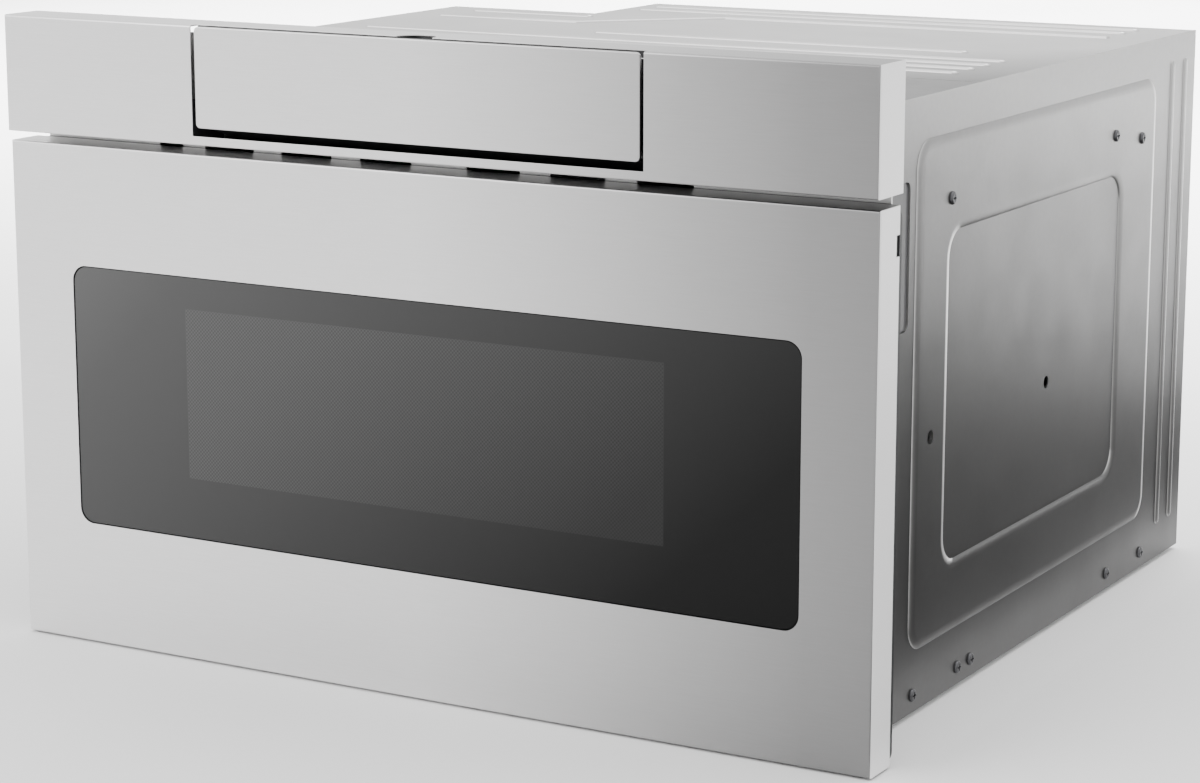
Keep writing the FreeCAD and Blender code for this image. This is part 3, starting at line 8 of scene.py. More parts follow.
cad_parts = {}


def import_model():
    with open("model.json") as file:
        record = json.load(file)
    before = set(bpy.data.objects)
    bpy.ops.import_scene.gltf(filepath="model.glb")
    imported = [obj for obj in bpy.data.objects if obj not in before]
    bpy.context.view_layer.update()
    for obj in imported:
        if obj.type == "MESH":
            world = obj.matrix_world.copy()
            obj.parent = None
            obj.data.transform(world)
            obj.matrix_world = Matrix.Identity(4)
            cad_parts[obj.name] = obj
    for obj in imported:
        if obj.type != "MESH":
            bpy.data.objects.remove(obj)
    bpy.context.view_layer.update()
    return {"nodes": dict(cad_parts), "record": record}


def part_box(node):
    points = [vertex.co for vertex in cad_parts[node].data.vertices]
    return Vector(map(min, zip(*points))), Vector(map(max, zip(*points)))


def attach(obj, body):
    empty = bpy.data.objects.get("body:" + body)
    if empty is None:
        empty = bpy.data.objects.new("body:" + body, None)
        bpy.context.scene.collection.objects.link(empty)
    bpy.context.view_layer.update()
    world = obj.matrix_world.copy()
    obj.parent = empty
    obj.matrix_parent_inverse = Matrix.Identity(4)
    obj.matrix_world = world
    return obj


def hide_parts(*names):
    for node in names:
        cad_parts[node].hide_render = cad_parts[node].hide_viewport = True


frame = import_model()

bl_info = {
    "name": "Microwave Drawer",
    "version": (1, 0, 0),
    "blender": (4, 5, 0),
    "location": "View3D > Sidebar > Microwave Drawer",
    "description": "Builds and finishes a built-in microwave drawer over its CAD frame",
    "category": "Object",
}

MM = 0.001
LOW, HIGH = 0, 1
SAME_LEVEL = 0.01 * MM
CUTTER_REACH = 10 * MM
SMOOTH_ANGLE = 0.6


# ---- places read from the frame ---------------------------------------------------------

def low(node):
    return Vector(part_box(node)[LOW])


def high(node):
    return Vector(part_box(node)[HIGH])


SKIN_LOW, SKIN_HIGH = low("drawer_front_skin"), high("drawer_front_skin")
FASCIA_LOW, FASCIA_HIGH = low("fascia"), high("fascia")
GLASS_LOW, GLASS_HIGH = low("drawer_front_glass"), high("drawer_front_glass")
PANEL_LOW, PANEL_HIGH = low("control_skin"), high("control_skin")
SCREEN_LOW, SCREEN_HIGH = low("view_screen"), high("view_screen")
HOUSING_TOP = high("control_housing").z
SHEET_LOW, SHEET_HIGH = low("side_panel_right"), high("side_panel_right")
ROOF_LOW, ROOF_HIGH = low("top_cover"), high("top_cover")

# The body's ends along Y, and the step at its rear left corner.
FRONT, REAR = FASCIA_LOW.y, SHEET_HIGH.y
STEP, STEP_X = high("side_panel_left").y, low("rear_panel").x


# ---- node values --------------------------------------------------------------------------

class Value:
    """A node's output that is added to, multiplied and compared like a number."""

    def __init__(self, finish, socket):
        self.finish = finish
        self.socket = socket

    def math(self, operation, *others):
        return self.finish.node("ShaderNodeMath", self, *others, operation=operation)

    def __add__(self, other):
        return self.math("ADD", other)

    def __sub__(self, other):
        return self.math("SUBTRACT", other)

    def __rsub__(self, other):
        return self.finish.node("ShaderNodeMath", other, self, operation="SUBTRACT")

    def __mul__(self, other):
        return self.math("MULTIPLY", other)

    def __truediv__(self, other):
        return self.math("DIVIDE", other)

    def __gt__(self, other):
        return self.math("GREATER_THAN", other)

    def __lt__(self, other):
        return self.math("LESS_THAN", other)


class Finish:
    """One material: a Principled surface and the nodes that feed it."""

    def __init__(self, name, colour, roughness, metallic=0.0, coat=0.0):
        self.material = bpy.data.materials.new(name)
        self.material.use_nodes = True
        self.tree = self.material.node_tree
        self.surface = self.tree.nodes["Principled BSDF"]
        self.material.diffuse_color = (*colour, 1)
        self.surface.inputs["Base Color"].default_value = (*colour, 1)
        self.surface.inputs["Roughness"].default_value = roughness
        self.surface.inputs["Metallic"].default_value = metallic
        self.surface.inputs["Coat Weight"].default_value = coat
        self.place = None

    def node(self, kind, *inputs, output=0, **settings):
        """Any node: its inputs in order, each a Value, a number or a colour, and its settings."""
        made = self.tree.nodes.new(kind)
        for name, setting in settings.items():
            setattr(made, name, setting)
        for number, given in enumerate(inputs):
            if isinstance(given, Value):
                self.tree.links.new(given.socket, made.inputs[number])
            elif given is not None:
                made.inputs[number].default_value = given
        return Value(self, made.outputs[output])

    def axes(self):
        """The piece's own X, Y and Z in metres."""
        if self.place is None:
            self.place = self.node("ShaderNodeTexCoord", output=3)
        split = self.node("ShaderNodeSeparateXYZ", self.place)
        outputs = split.socket.node.outputs
        return [Value(self, outputs[number]) for number in range(3)]

    def facing(self):
        """The parts of the piece's own normal along X, Y and Z."""
        split = self.node("ShaderNodeSeparateXYZ", self.node("ShaderNodeTexCoord", output=1))
        outputs = split.socket.node.outputs
        return [Value(self, outputs[number]) for number in range(3)]

    def noise(self, scale, stretch=(1, 1, 1), detail=3.0):
        """Noise in the piece's own space, stretched by a factor along each axis."""
        self.axes()
        moved = self.node("ShaderNodeMapping", self.place, None, None, stretch)
        return self.node("ShaderNodeTexNoise", moved, None, scale, detail)

    def ramp(self, factor, *stops):
        """A colour for each stop of a factor: (position, colour)."""
        made = self.node("ShaderNodeValToRGB", factor)
        elements = made.socket.node.color_ramp.elements
        while len(elements) < len(stops):
            elements.new(0.5)
        for element, (position, colour) in zip(elements, stops):
            element.position = position
            element.color = (*colour, 1) if len(colour) == 3 else colour
        return made

    def blend(self, factor, first, second, mode="MIX"):
        """Two colours mixed by a factor."""
        made = self.tree.nodes.new("ShaderNodeMix")
        made.data_type = "RGBA"
        made.blend_type = mode
        for index, given in ((0, factor), (6, first), (7, second)):
            if isinstance(given, Value):
                self.tree.links.new(given.socket, made.inputs[index])
            else:
                made.inputs[index].default_value = given
        return Value(self, made.outputs[2])

    def feed(self, name, value):
        self.tree.links.new(value.socket, self.surface.inputs[name])

    def bump(self, height, strength, distance):
        """Raise the surface by a height value."""
        made = self.tree.nodes.new("ShaderNodeBump")
        made.inputs["Strength"].default_value = strength
        made.inputs["Distance"].default_value = distance
        self.tree.links.new(height.socket, made.inputs["Height"])
        self.tree.links.new(made.outputs["Normal"], self.surface.inputs["Normal"])


def grey(level):
    return (level, level, level)


# ---- finishes -----------------------------------------------------------------------------

def brushed(name, settings, grain, shade=None, dull=None):
    """Stainless steel with long brush lines along one axis, lit softly where it is dull."""
    finish = Finish(name, settings.colour, settings.roughness, metallic=1.0)
    lines = finish.noise(40, grain, 4.0)
    broad = finish.noise(2.2, (1, 1, 1), 2.0)
    colour = tuple(settings.colour)
    dark = tuple(part * 0.93 for part in colour)
    tone = finish.ramp(lines * 0.75 + broad * 0.25, (0.3, dark), (0.7, colour))
    if shade is not None:
        tone = finish.blend(1.0, tone, shade(finish), "MULTIPLY")
    finish.feed("Base Color", tone)
    if dull is not None:
        finish.feed("Metallic", 1 - dull(finish) * 0.8)
    finish.feed("Roughness", lines * 0.14 + (settings.roughness - 0.07))
    finish.bump(lines, 0.05, 0.0004)
    return finish.material


def sheet_metal(name, settings, shade=None):
    """Zinc-coated sheet: a soft mottled grey with faint rolling lines."""
    finish = Finish(name, settings.colour, settings.roughness, metallic=1.0)
    mottle = finish.noise(26, (1, 1, 1), 5.0)
    rolling = finish.noise(30, (1, 8, 8), 3.0)
    colour = tuple(settings.colour)
    dark = tuple(part * 0.88 for part in colour)
    tone = finish.ramp(mottle * 0.6 + rolling * 0.4, (0.32, dark), (0.68, colour))
    if shade is not None:
        tone = finish.blend(1.0, tone, shade(finish), "MULTIPLY")
    finish.feed("Base Color", tone)
    finish.feed("Roughness", mottle * 0.16 + (settings.roughness - 0.08))
    finish.bump(mottle, 0.04, 0.0006)
    return finish.material


def side_shade(finish):
    """The fall of light down the side panel, from its top rear to its foot."""
    _, along, up = finish.axes()
    fall = up / SHEET_HIGH.z * 0.82 + along * 0.32 + 0.14
    shade = finish.ramp(fall, (0.0, grey(0.20)), (0.35, grey(0.115)), (0.58, grey(0.10)), (0.8, grey(0.27)),
                        (0.93, grey(0.56)), (1.0, grey(0.60)))
    # Painted highlights on the slopes that face the rear.
    shade = worn_slopes(finish, shade, finish.facing()[1])
    # Painted highlight: the slopes that face the front are lightened as well.
    return finish.blend((finish.facing()[1] * -1 - 0.04) * 1.5, shade, (*grey(0.75), 1))


def roof_shade(finish):
    """The fall of light over the roof, dimmer towards its front right corner."""
    across, along, _ = finish.axes()
    fall = across * 1.2 - along * 1.6 + 0.35
    shade = finish.ramp(fall, (0.0, grey(0.85)), (0.45, grey(0.84)), (0.8, grey(0.17)), (1.0, grey(0.12)))
    # Painted highlights on the slopes of the ribs, facing either way.
    return worn_slopes(finish, shade, finish.facing()[1].math("ABSOLUTE"))


def worn_slopes(finish, shade, turned):
    """Paint highlights on the slopes of the pressings: the more a slope is turned, the nearer its colour goes
    to white.
    """
    return finish.blend((turned - 0.03) * 14, shade, (*grey(1.0), 1))


def front_shade(finish):
    """The fall of light across the front, bright at the left and on the right-hand returns."""
    across, _, _ = finish.axes()
    wide = SKIN_HIGH.x - SKIN_LOW.x
    share = (across - SKIN_LOW.x) / wide
    return finish.ramp(share * (1 - front_return(finish)), (0.0, grey(1.0)), (0.5, grey(0.90)),
                       (0.8, grey(0.47)), (0.93, grey(0.32)), (1.0, grey(0.28)))


def front_return(finish):
    """One on the right-hand returns of the front, nought elsewhere."""
    return finish.axes()[0] > SKIN_HIGH.x - 0.4 * MM


def plastic(name, colour, roughness):
    """Moulded plastic with a fine grain."""
    finish = Finish(name, colour, roughness)
    grain = finish.noise(900, (1, 1, 1), 2.0)
    cloud = finish.noise(12, (1, 1, 1), 2.0)
    light = tuple(min(1.0, part * 1.18 + 0.004) for part in colour)
    finish.feed("Base Color", finish.ramp(cloud, (0.35, colour), (0.65, light)))
    finish.feed("Roughness", grain * 0.12 + (roughness - 0.06))
    finish.bump(grain, 0.12, 0.0002)
    return finish.material


def painted(name, colour, roughness):
    """Enamelled or painted steel with a slight orange peel."""
    finish = Finish(name, colour, roughness, coat=0.3)
    peel = finish.noise(220, (1, 1, 1), 1.0)
    cloud = finish.noise(9, (1, 1, 1), 2.0)
    dark = tuple(part * 0.85 for part in colour)
    finish.feed("Base Color", finish.ramp(cloud, (0.35, dark), (0.65, colour)))
    finish.feed("Roughness", peel * 0.1 + (roughness - 0.05))
    finish.bump(peel, 0.08, 0.0003)
    return finish.material


def door_glass(name, settings):
    """Dark tinted glass: a screened view area, lighter than its border, with fine holes, and a painted
    reflection that darkens from the top left towards the bottom right.
    """
    finish = Finish(name, settings.colour, 0.08)
    finish.surface.inputs["Specular IOR Level"].default_value = 0.10
    across, _, up = finish.axes()
    wide = GLASS_HIGH.x - GLASS_LOW.x
    tall = GLASS_HIGH.z - GLASS_LOW.z
    # Painted reflection: lighter at the top left, darker towards the bottom right, in the border and the view
    # area alike.
    fall = (across - GLASS_LOW.x) / wide * 0.75 + (GLASS_HIGH.z - up) / tall * 0.25
    border = finish.ramp(fall, (0.0, grey(0.086)), (0.13, grey(0.064)), (0.4, grey(0.042)),
                         (0.85, grey(0.006)), (1.0, grey(0.003)))
    window = finish.ramp(fall, (0.0, grey(0.105)), (0.3, grey(0.079)), (0.5, grey(0.055)),
                         (0.75, grey(0.024)), (1.0, grey(0.012)))
    edge = settings.view_edge
    left, right = SCREEN_LOW.x + edge, SCREEN_HIGH.x - edge
    base, top = SCREEN_LOW.z + edge, SCREEN_HIGH.z - edge
    inside = (across > left) * (across < right) * (up > base) * (up < top)
    pitch = settings.hole_pitch
    columns = (across * (2 * math.pi / pitch)).math("SINE")
    rows = (up * (2 * math.pi / pitch)).math("SINE")
    holes = (columns * rows) * 0.5 + 0.5
    dotted = finish.blend(holes * 0.45, window, (0.004, 0.004, 0.004, 1))
    finish.feed("Base Color", finish.blend(inside, border, dotted))
    finish.feed("Roughness", inside * 0.12 + 0.08)
    return finish.material


def mirror_plastic(name, colour):
    """Polished black key glass."""
    finish = Finish(name, colour, 0.07, coat=1.0)
    cloud = finish.noise(14, (1, 1, 1), 1.0)
    finish.feed("Roughness", cloud * 0.05 + 0.04)
    finish.feed("Base Color", finish.ramp(cloud, (0.3, colour), (0.7, tuple(part * 1.3 for part in colour))))
    return finish.material


def ceramic(name, colour):
    """Glazed ceramic with faint speckles."""
    finish = Finish(name, colour, 0.22, coat=0.5)
    speckle = finish.noise(420, (1, 1, 1), 2.0)
    dark = tuple(part * 0.86 for part in colour)
    finish.feed("Base Color", finish.ramp(speckle, (0.3, dark), (0.42, colour)))
    finish.feed("Roughness", speckle * 0.1 + 0.17)
    return finish.material


def circuit(name, colour):
    """Lacquered board with darker tracks."""
    finish = Finish(name, colour, 0.35, coat=0.4)
    across, along, _ = finish.axes()
    tracks = ((across * 1400).math("SINE") * (along * 1100).math("SINE")) > 0.35
    finish.feed("Base Color", finish.blend(tracks, (*colour, 1), (*[part * 0.5 for part in colour], 1)))
    finish.feed("Roughness", tracks * 0.15 + 0.3)
    return finish.material


def winding(name, colour):
    """Enamelled copper wire laid in turns."""
    finish = Finish(name, colour, 0.35, metallic=0.6, coat=0.4)
    _, _, up = finish.axes()
    turns = (up * (2 * math.pi / 0.0016)).math("SINE") * 0.5 + 0.5
    finish.feed("Base Color", finish.ramp(turns, (0.0, tuple(part * 0.45 for part in colour)), (0.6, colour)))
    finish.feed("Roughness", turns * 0.1 + 0.3)
    finish.bump(turns, 0.4, 0.0006)
    return finish.material


def laminated(name, colour):
    """Varnished iron laminations, edge on."""
    finish = Finish(name, colour, 0.5, metallic=0.5)
    _, along, _ = finish.axes()
    plates = (along * (2 * math.pi / 0.001)).math("SINE") * 0.5 + 0.5
    finish.feed("Base Color", finish.ramp(plates, (0.0, tuple(part * 0.4 for part in colour)), (0.7, colour)))
    finish.feed("Roughness", plates * 0.15 + 0.42)
    finish.bump(plates, 0.3, 0.0003)
    return finish.material


def polished(name, colour, roughness):
    """Bright zinc, chrome or aluminium parts."""
    finish = Finish(name, colour, roughness, metallic=1.0)
    wear = finish.noise(60, (1, 1, 1), 4.0)
    finish.feed("Base Color", finish.ramp(wear, (0.3, tuple(part * 0.8 for part in colour)), (0.7, colour)))
    finish.feed("Roughness", wear * 0.12 + (roughness - 0.05))
    return finish.material


# ---- modelling steps ------------------------------------------------------------------------

def start(name, lowest, highest):
    """A cube of one size and place, ready to be shaped in edit mode."""
    bpy.ops.object.select_all(action="DESELECT")
    bpy.ops.mesh.primitive_cube_add(size=1)
    piece = bpy.context.object
    piece.name = piece.data.name = name
    piece.scale = Vector(highest) - Vector(lowest)
    piece.location = (Vector(highest) + Vector(lowest)) / 2
    bpy.ops.object.transform_apply(location=True, rotation=True, scale=True)
    return piece


def activate(piece):
    bpy.ops.object.select_all(action="DESELECT")
    piece.select_set(True)
    bpy.context.view_layer.objects.active = piece


def pick_edges(piece, wanted):
    """Select the folded edges of a piece whose two ends pass a test, in edit mode."""
    activate(piece)
    bpy.ops.object.mode_set(mode="EDIT")
    bpy.ops.mesh.select_all(action="DESELECT")
    bpy.ops.mesh.select_mode(type="EDGE")
    shape = bmesh.from_edit_mesh(piece.data)
    for edge in shape.edges:
        folded = edge.calc_face_angle(0) > 0.01
        edge.select = folded and wanted(edge.verts[0].co, edge.verts[1].co)
    shape.select_flush_mode()
    bmesh.update_edit_mesh(piece.data)


def pick_faces(piece, wanted):
    """Select the faces of a piece whose middle and normal pass a test, in edit mode."""
    activate(piece)
    bpy.ops.object.mode_set(mode="EDIT")
    bpy.ops.mesh.select_all(action="DESELECT")
    bpy.ops.mesh.select_mode(type="FACE")
    shape = bmesh.from_edit_mesh(piece.data)
    for face in shape.faces:
        face.select = wanted(face.calc_center_median(), face.normal)
    shape.select_flush_mode()
    bmesh.update_edit_mesh(piece.data)


def bevel_edges(piece, wanted, width, segments):
    pick_edges(piece, wanted)
    bpy.ops.mesh.bevel(offset=width, segments=segments, affect="EDGES")
    bpy.ops.object.mode_set(mode="OBJECT")


def remove_faces(piece, wanted):
    pick_faces(piece, wanted)
    bpy.ops.mesh.delete(type="FACE")
    bpy.ops.object.mode_set(mode="OBJECT")


def modifier(piece, kind, **settings):
    """Add a modifier and apply it."""
    activate(piece)
    made = piece.modifiers.new(kind, kind)
    for name, setting in settings.items():
        setattr(made, name, setting)
    bpy.ops.object.modifier_apply(modifier=made.name)


def cut(piece, cutter):
    """Take a cutter's space out of a piece and drop the cutter."""
    modifier(piece, "BOOLEAN", object=cutter, operation="DIFFERENCE", solver="EXACT")
    bpy.data.objects.remove(cutter, do_unlink=True)


def every_face(middle, normal):
    return True


def turn_over(piece):
    """Mirror a right-hand piece to the left, faces still outwards."""
    pick_faces(piece, every_face)
    bpy.ops.transform.resize(value=(-1, 1, 1), center_override=(0, 0, 0))
    bpy.ops.mesh.normals_make_consistent(inside=False)
    bpy.ops.object.mode_set(mode="OBJECT")


def along(axis):
    """A test for edges that run along one axis."""
    def test(first, second):
        run = second - first
        return abs(run[axis]) > 0.9 * run.length
    return test


def before(level):
    """A test for edges that lie no further back than a level."""
    def test(first, second):
        return max(first.y, second.y) < level + SAME_LEVEL
    return test


def finish_piece(piece, material, body, nodes):
    """Smooth, finish and hang a piece on its body."""
    activate(piece)
    bpy.ops.object.shade_smooth_by_angle(angle=SMOOTH_ANGLE)
    modifier(piece, "WEIGHTED_NORMAL", keep_sharp=True)
    piece.data.materials.clear()
    piece.data.materials.append(material)
    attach(piece, body)
    if nodes:
        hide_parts(*nodes)
    return piece


def folded_shell(name, lowest, highest, fold, wall):
    """A front sheet folded back round its edge: rounded front edges and an open back."""
    piece = start(name, lowest, highest)
    bevel_edges(piece, before(lowest.y), fold, 5)
    hollow(piece, wall)
    return piece


def hollow(piece, wall):
    """Open the back of a block and give its other faces a wall."""
    remove_faces(piece, lambda middle, normal: normal.y > 0.9)
    modifier(piece, "SOLIDIFY", thickness=wall, offset=-1, use_even_offset=True)


def break_edges(piece):
    """Take the sharpness off every edge of a cut sheet."""
    modifier(piece, "BEVEL", width=0.25 * MM, segments=2, limit_method="ANGLE", angle_limit=0.9)


def rounded_block(name, lowest, highest, axis, radius, segments=8):
    """A block whose edges along one axis are rounded."""
    piece = start(name, lowest, highest)
    bevel_edges(piece, along(axis), radius, segments)
    return piece


def join(pieces):
    """Make pieces that don't touch one object."""
    activate(pieces[0])
    for piece in pieces:
        piece.select_set(True)
    bpy.ops.object.join()
    return pieces[0]


def fuse(piece, other):
    """Unite a piece with another that overlaps it."""
    modifier(piece, "BOOLEAN", object=other, operation="UNION", solver="EXACT")
    bpy.data.objects.remove(other, do_unlink=True)


def ease_crown(piece, axis, crown, width, segments=4):
    """Round the edges that lie at one level along an axis."""
    def at_crown(first, second):
        return abs(first[axis] - crown) < SAME_LEVEL and abs(second[axis] - crown) < SAME_LEVEL
    bevel_edges(piece, at_crown, width, segments)


def raised(name, axis, face, rise, spans, radius):
    """A block that stands out from a face by a height, with rounded corners."""
    foot, crown = face - rise * 0.2, face + rise
    corners = (Vector(), Vector())
    sides = [number for number in range(3) if number != axis]
    for number, (near, far) in zip(sides, spans):
        corners[LOW][number], corners[HIGH][number] = near, far
    corners[LOW][axis], corners[HIGH][axis] = sorted((foot, crown))
    return rounded_block(name, corners[LOW], corners[HIGH], axis, radius), crown


def press(piece, axis, face, crown, slope, rise):
    """Round the crown by the slope's width and flatten it to the rise of the pressing."""
    ease_crown(piece, axis, crown, slope * 0.98, 6)
    shrink = [1, 1, 1]
    shrink[axis] = rise / slope
    centre = [0, 0, 0]
    centre[axis] = face
    pick_faces(piece, every_face)
    bpy.ops.transform.resize(value=shrink, center_override=centre)
    bpy.ops.object.mode_set(mode="OBJECT")


# ---- sizes and colours that a user may change -------------------------------------------------

class StainlessSettings(bpy.types.PropertyGroup):
    """The brushed steel of the front."""
    colour: bpy.props.FloatVectorProperty(
        name="Colour", description="Colour of the brushed stainless steel", default=(0.78, 0.775, 0.775),
        subtype="COLOR", min=0, max=1)
    roughness: bpy.props.FloatProperty(
        name="Roughness", description="How matte the brushed steel is", default=0.34, min=0.1, max=0.8)
    fold: bpy.props.FloatProperty(
        name="Fold radius", description="Radius of the folded front edges", default=1.6 * MM, unit="LENGTH")
    wall: bpy.props.FloatProperty(
        name="Sheet", description="Thickness of the stainless sheet", default=1.0 * MM, unit="LENGTH")


class SheetSettings(bpy.types.PropertyGroup):
    """The zinc-coated sheet of the body."""
    colour: bpy.props.FloatVectorProperty(
        name="Colour", description="Colour of the zinc-coated sheet", default=(0.66, 0.655, 0.65),
        subtype="COLOR", min=0, max=1)
    roughness: bpy.props.FloatProperty(
        name="Roughness", description="How matte the coated sheet is", default=0.36, min=0.1, max=0.8)


class GlassSettings(bpy.types.PropertyGroup):
    """The door glass and its view area."""
    colour: bpy.props.FloatVectorProperty(
        name="Tint", description="Colour of the tinted glass", default=(0.03, 0.03, 0.032),
        subtype="COLOR", min=0, max=1)
    corner: bpy.props.FloatProperty(
        name="Corner radius", description="Radius of the glass corners", default=10 * MM, unit="LENGTH")
    ease: bpy.props.FloatProperty(
        name="Eased edge", description="Width of the ground edge of the glass", default=0.5 * MM,
        unit="LENGTH")
    hole_pitch: bpy.props.FloatProperty(
        name="Hole pitch", description="Distance between holes of the screen", default=2.4 * MM,
        unit="LENGTH")
    view_edge: bpy.props.FloatProperty(
        name="Screen margin", description="Width of the screen's hidden margin", default=12 * MM,
        unit="LENGTH")


class PanelSettings(bpy.types.PropertyGroup):
    """The flip-up control panel."""
    corner: bpy.props.FloatProperty(
        name="Corner radius", description="Radius of the panel's corners", default=3 * MM, unit="LENGTH")
    flange: bpy.props.FloatProperty(
        name="Flange", description="How far the edge of the panel's face folds back", default=2 * MM,
        unit="LENGTH")
    notch_half: bpy.props.FloatProperty(
        name="Notch half width", description="Half width of the finger notch", default=12.5 * MM,
        unit="LENGTH")
    notch_depth: bpy.props.FloatProperty(
        name="Notch depth", description="How far back the finger notch reaches", default=20 * MM,
        unit="LENGTH")


class PressingSettings(bpy.types.PropertyGroup):
    """The pressings and holes of the side sheets and the roof."""
    rise: bpy.props.FloatProperty(
        name="Rise", description="Height of the pressings", default=1.5 * MM, unit="LENGTH")
    slope: bpy.props.FloatProperty(
        name="Slope", description="Width of the sloping edge of a frame", default=7 * MM, unit="LENGTH")
    corner: bpy.props.FloatProperty(
        name="Corner radius", description="Radius of the corners of the frames", default=17 * MM,
        unit="LENGTH")
    half: bpy.props.FloatProperty(
        name="Half width", description="Half width of a bead or rib", default=3.5 * MM, unit="LENGTH")
    hole: bpy.props.FloatProperty(
        name="Hole radius", description="Radius of the round holes", default=4 * MM, unit="LENGTH")


class ScrewSettings(bpy.types.PropertyGroup):
    """The pan-head screws of the body."""
    head: bpy.props.FloatProperty(
        name="Head radius", description="Radius of the screw heads", default=4 * MM, unit="LENGTH")
    dome: bpy.props.FloatProperty(
        name="Head height", description="Height of the screw heads", default=1.8 * MM, unit="LENGTH")


class LightSettings(bpy.types.PropertyGroup):
    """The studio."""
    sky: bpy.props.FloatProperty(
        name="Surround", description="Strength of the even light all round", default=1.75, min=0, max=5)
    key: bpy.props.FloatProperty(
        name="Key light", description="Power of the large front light", default=60, min=0, max=500,
        unit="POWER")
    rear: bpy.props.FloatProperty(
        name="Rear floor light", description="Power of the light on the floor behind", default=500, min=0,
        max=3000, unit="POWER")


SETTINGS = (StainlessSettings, SheetSettings, GlassSettings, PanelSettings, PressingSettings, ScrewSettings,
            LightSettings)


def settings(name):
    return getattr(bpy.context.scene, "drawer_" + name)


# ---- finishes of the CAD nodes ------------------------------------------------------------------

def cad_finishes():
    """A finish for each material slot of the record."""
    steel, zinc = settings("stainless"), settings("sheet")
    return {
        "stainless": brushed("Brushed stainless", steel, (1.5, 60, 60)),
        "zinc_sheet": sheet_metal("Zinc sheet", zinc),
        "oven_enamel": painted("Oven enamel", (0.30, 0.30, 0.295), 0.4),
        "dark_steel": painted("Black enamel", (0.018, 0.018, 0.02), 0.42),
        "slide_steel": polished("Bright zinc", (0.62, 0.64, 0.66), 0.3),
        "black_plastic": plastic("Black plastic", (0.012, 0.012, 0.013), 0.48),
        "grey_plastic": plastic("Grey plastic", (0.20, 0.205, 0.21), 0.5),
        "white_plastic": plastic("White plastic", (0.70, 0.70, 0.67), 0.45),
        "door_glass": door_glass("Door glass", settings("glass")),
        "key_glass": mirror_plastic("Key glass", (0.008, 0.008, 0.009)),
        "ceramic_plate": ceramic("Ceramic plate", (0.72, 0.71, 0.67)),
        "aluminium_fins": polished("Aluminium", (0.75, 0.76, 0.77), 0.34),
        "core_iron": laminated("Transformer laminations", (0.09, 0.09, 0.095)),
        "copper_coil": winding("Copper winding", (0.50, 0.20, 0.08)),
        "circuit_board": circuit("Circuit board", (0.02, 0.13, 0.05)),
        "screw_steel": polished("Dark screw steel", (0.10, 0.10, 0.105), 0.38),
    }


FINISHES = {}


class DRAWER_OT_finishes(bpy.types.Operator):
    """Give every CAD node its procedural finish"""
    bl_idname = "drawer.finishes"
    bl_label = "Finish the CAD nodes"

    def execute(self, context):
        FINISHES.update(cad_finishes())
        # Shaded copies of the sheet and steel finishes, with light and shade painted into their colour, and a
        # dark finish painted as shade in slots and gaps.
        FINISHES["side_sheet"] = sheet_metal("Side sheet", settings("sheet"), side_shade)
        FINISHES["roof_sheet"] = sheet_metal("Roof sheet", settings("sheet"), roof_shade)
        FINISHES["roof_front"] = sheet_metal("Front roof sheet", settings("sheet"), roof_shade)
        FINISHES["slot_liner"] = painted("Slot liner", (0.05, 0.05, 0.052), 0.5)
        FINISHES["front_sheet"] = brushed("Front stainless", settings("stainless"), (1.5, 60, 60),
                                          front_shade, front_return)
        slots = {part["node"]: part["material_slot"] for part in frame["record"]["subparts"]}
        for node, piece in frame["nodes"].items():
            name = {"front_top_plate": "roof_front"}.get(node, slots[node])
            piece.data.materials.clear()
            piece.data.materials.append(FINISHES[name])
        return {"FINISHED"}


# ---- the front ----------------------------------------------------------------------------------

# The gap round the glass, and the notch in the drawer front's right-hand edge, measured
# down from its top.
GLASS_GAP = 0.5 * MM
TAB_FOOT, TAB_HEAD = 28.5 * MM, 16.5 * MM
TAB_ACROSS, TAB_BACK = 3 * MM, 4 * MM

# The fascia's opening reaches past the control panel and back from the fascia's face.
OPENING_SIDE, OPENING_FOOT, OPENING_DEPTH = 2.5 * MM, 5.0 * MM, 7.2 * MM

# The lips behind the opening and the notch hang just under the top flange; their dark finish is painted shade
# for the gaps behind them.
LIP_GAP, LIP_SHEET, LIP_UNDER = 0.4 * MM, 0.8 * MM, 1.1 * MM
NOTCH_LIP_SIDE, NOTCH_LIP_FOOT = 8 * MM, 12 * MM


class DRAWER_OT_drawer_front(bpy.types.Operator):
    """Fold the stainless drawer front and cut its window"""
    bl_idname = "drawer.drawer_front"
    bl_label = "Drawer front"

    def execute(self, context):
        steel, glass = settings("stainless"), settings("glass")
        piece = folded_shell("drawer_front", SKIN_LOW, SKIN_HIGH, steel.fold, steel.wall)
        window = rounded_block(
            "window", (GLASS_LOW.x - GLASS_GAP, SKIN_LOW.y - CUTTER_REACH, GLASS_LOW.z - GLASS_GAP),
            (GLASS_HIGH.x + GLASS_GAP, SKIN_LOW.y + CUTTER_REACH, GLASS_HIGH.z + GLASS_GAP),
            1, glass.corner, 10)
        cut(piece, window)
        tab = start("tab", (SKIN_HIGH.x - TAB_ACROSS, SKIN_HIGH.y - TAB_BACK, SKIN_HIGH.z - TAB_FOOT),
                    (SKIN_HIGH.x + TAB_ACROSS, SKIN_HIGH.y + TAB_BACK, SKIN_HIGH.z - TAB_HEAD))
        cut(piece, tab)
        break_edges(piece)
        finish_piece(piece, FINISHES["front_sheet"], "drawer", ["drawer_front_skin"])
        return {"FINISHED"}


class DRAWER_OT_door_glass(bpy.types.Operator):
    """Lay the tinted glass in the drawer front"""
    bl_idname = "drawer.door_glass"
    bl_label = "Door glass"

    def execute(self, context):
        glass = settings("glass")
        piece = rounded_block("door_glass", GLASS_LOW, GLASS_HIGH, 1, glass.corner, 10)
        bevel_edges(piece, before(GLASS_LOW.y), glass.ease, 2)
        finish_piece(piece, FINISHES["door_glass"], "drawer", ["drawer_front_glass"])
        return {"FINISHED"}


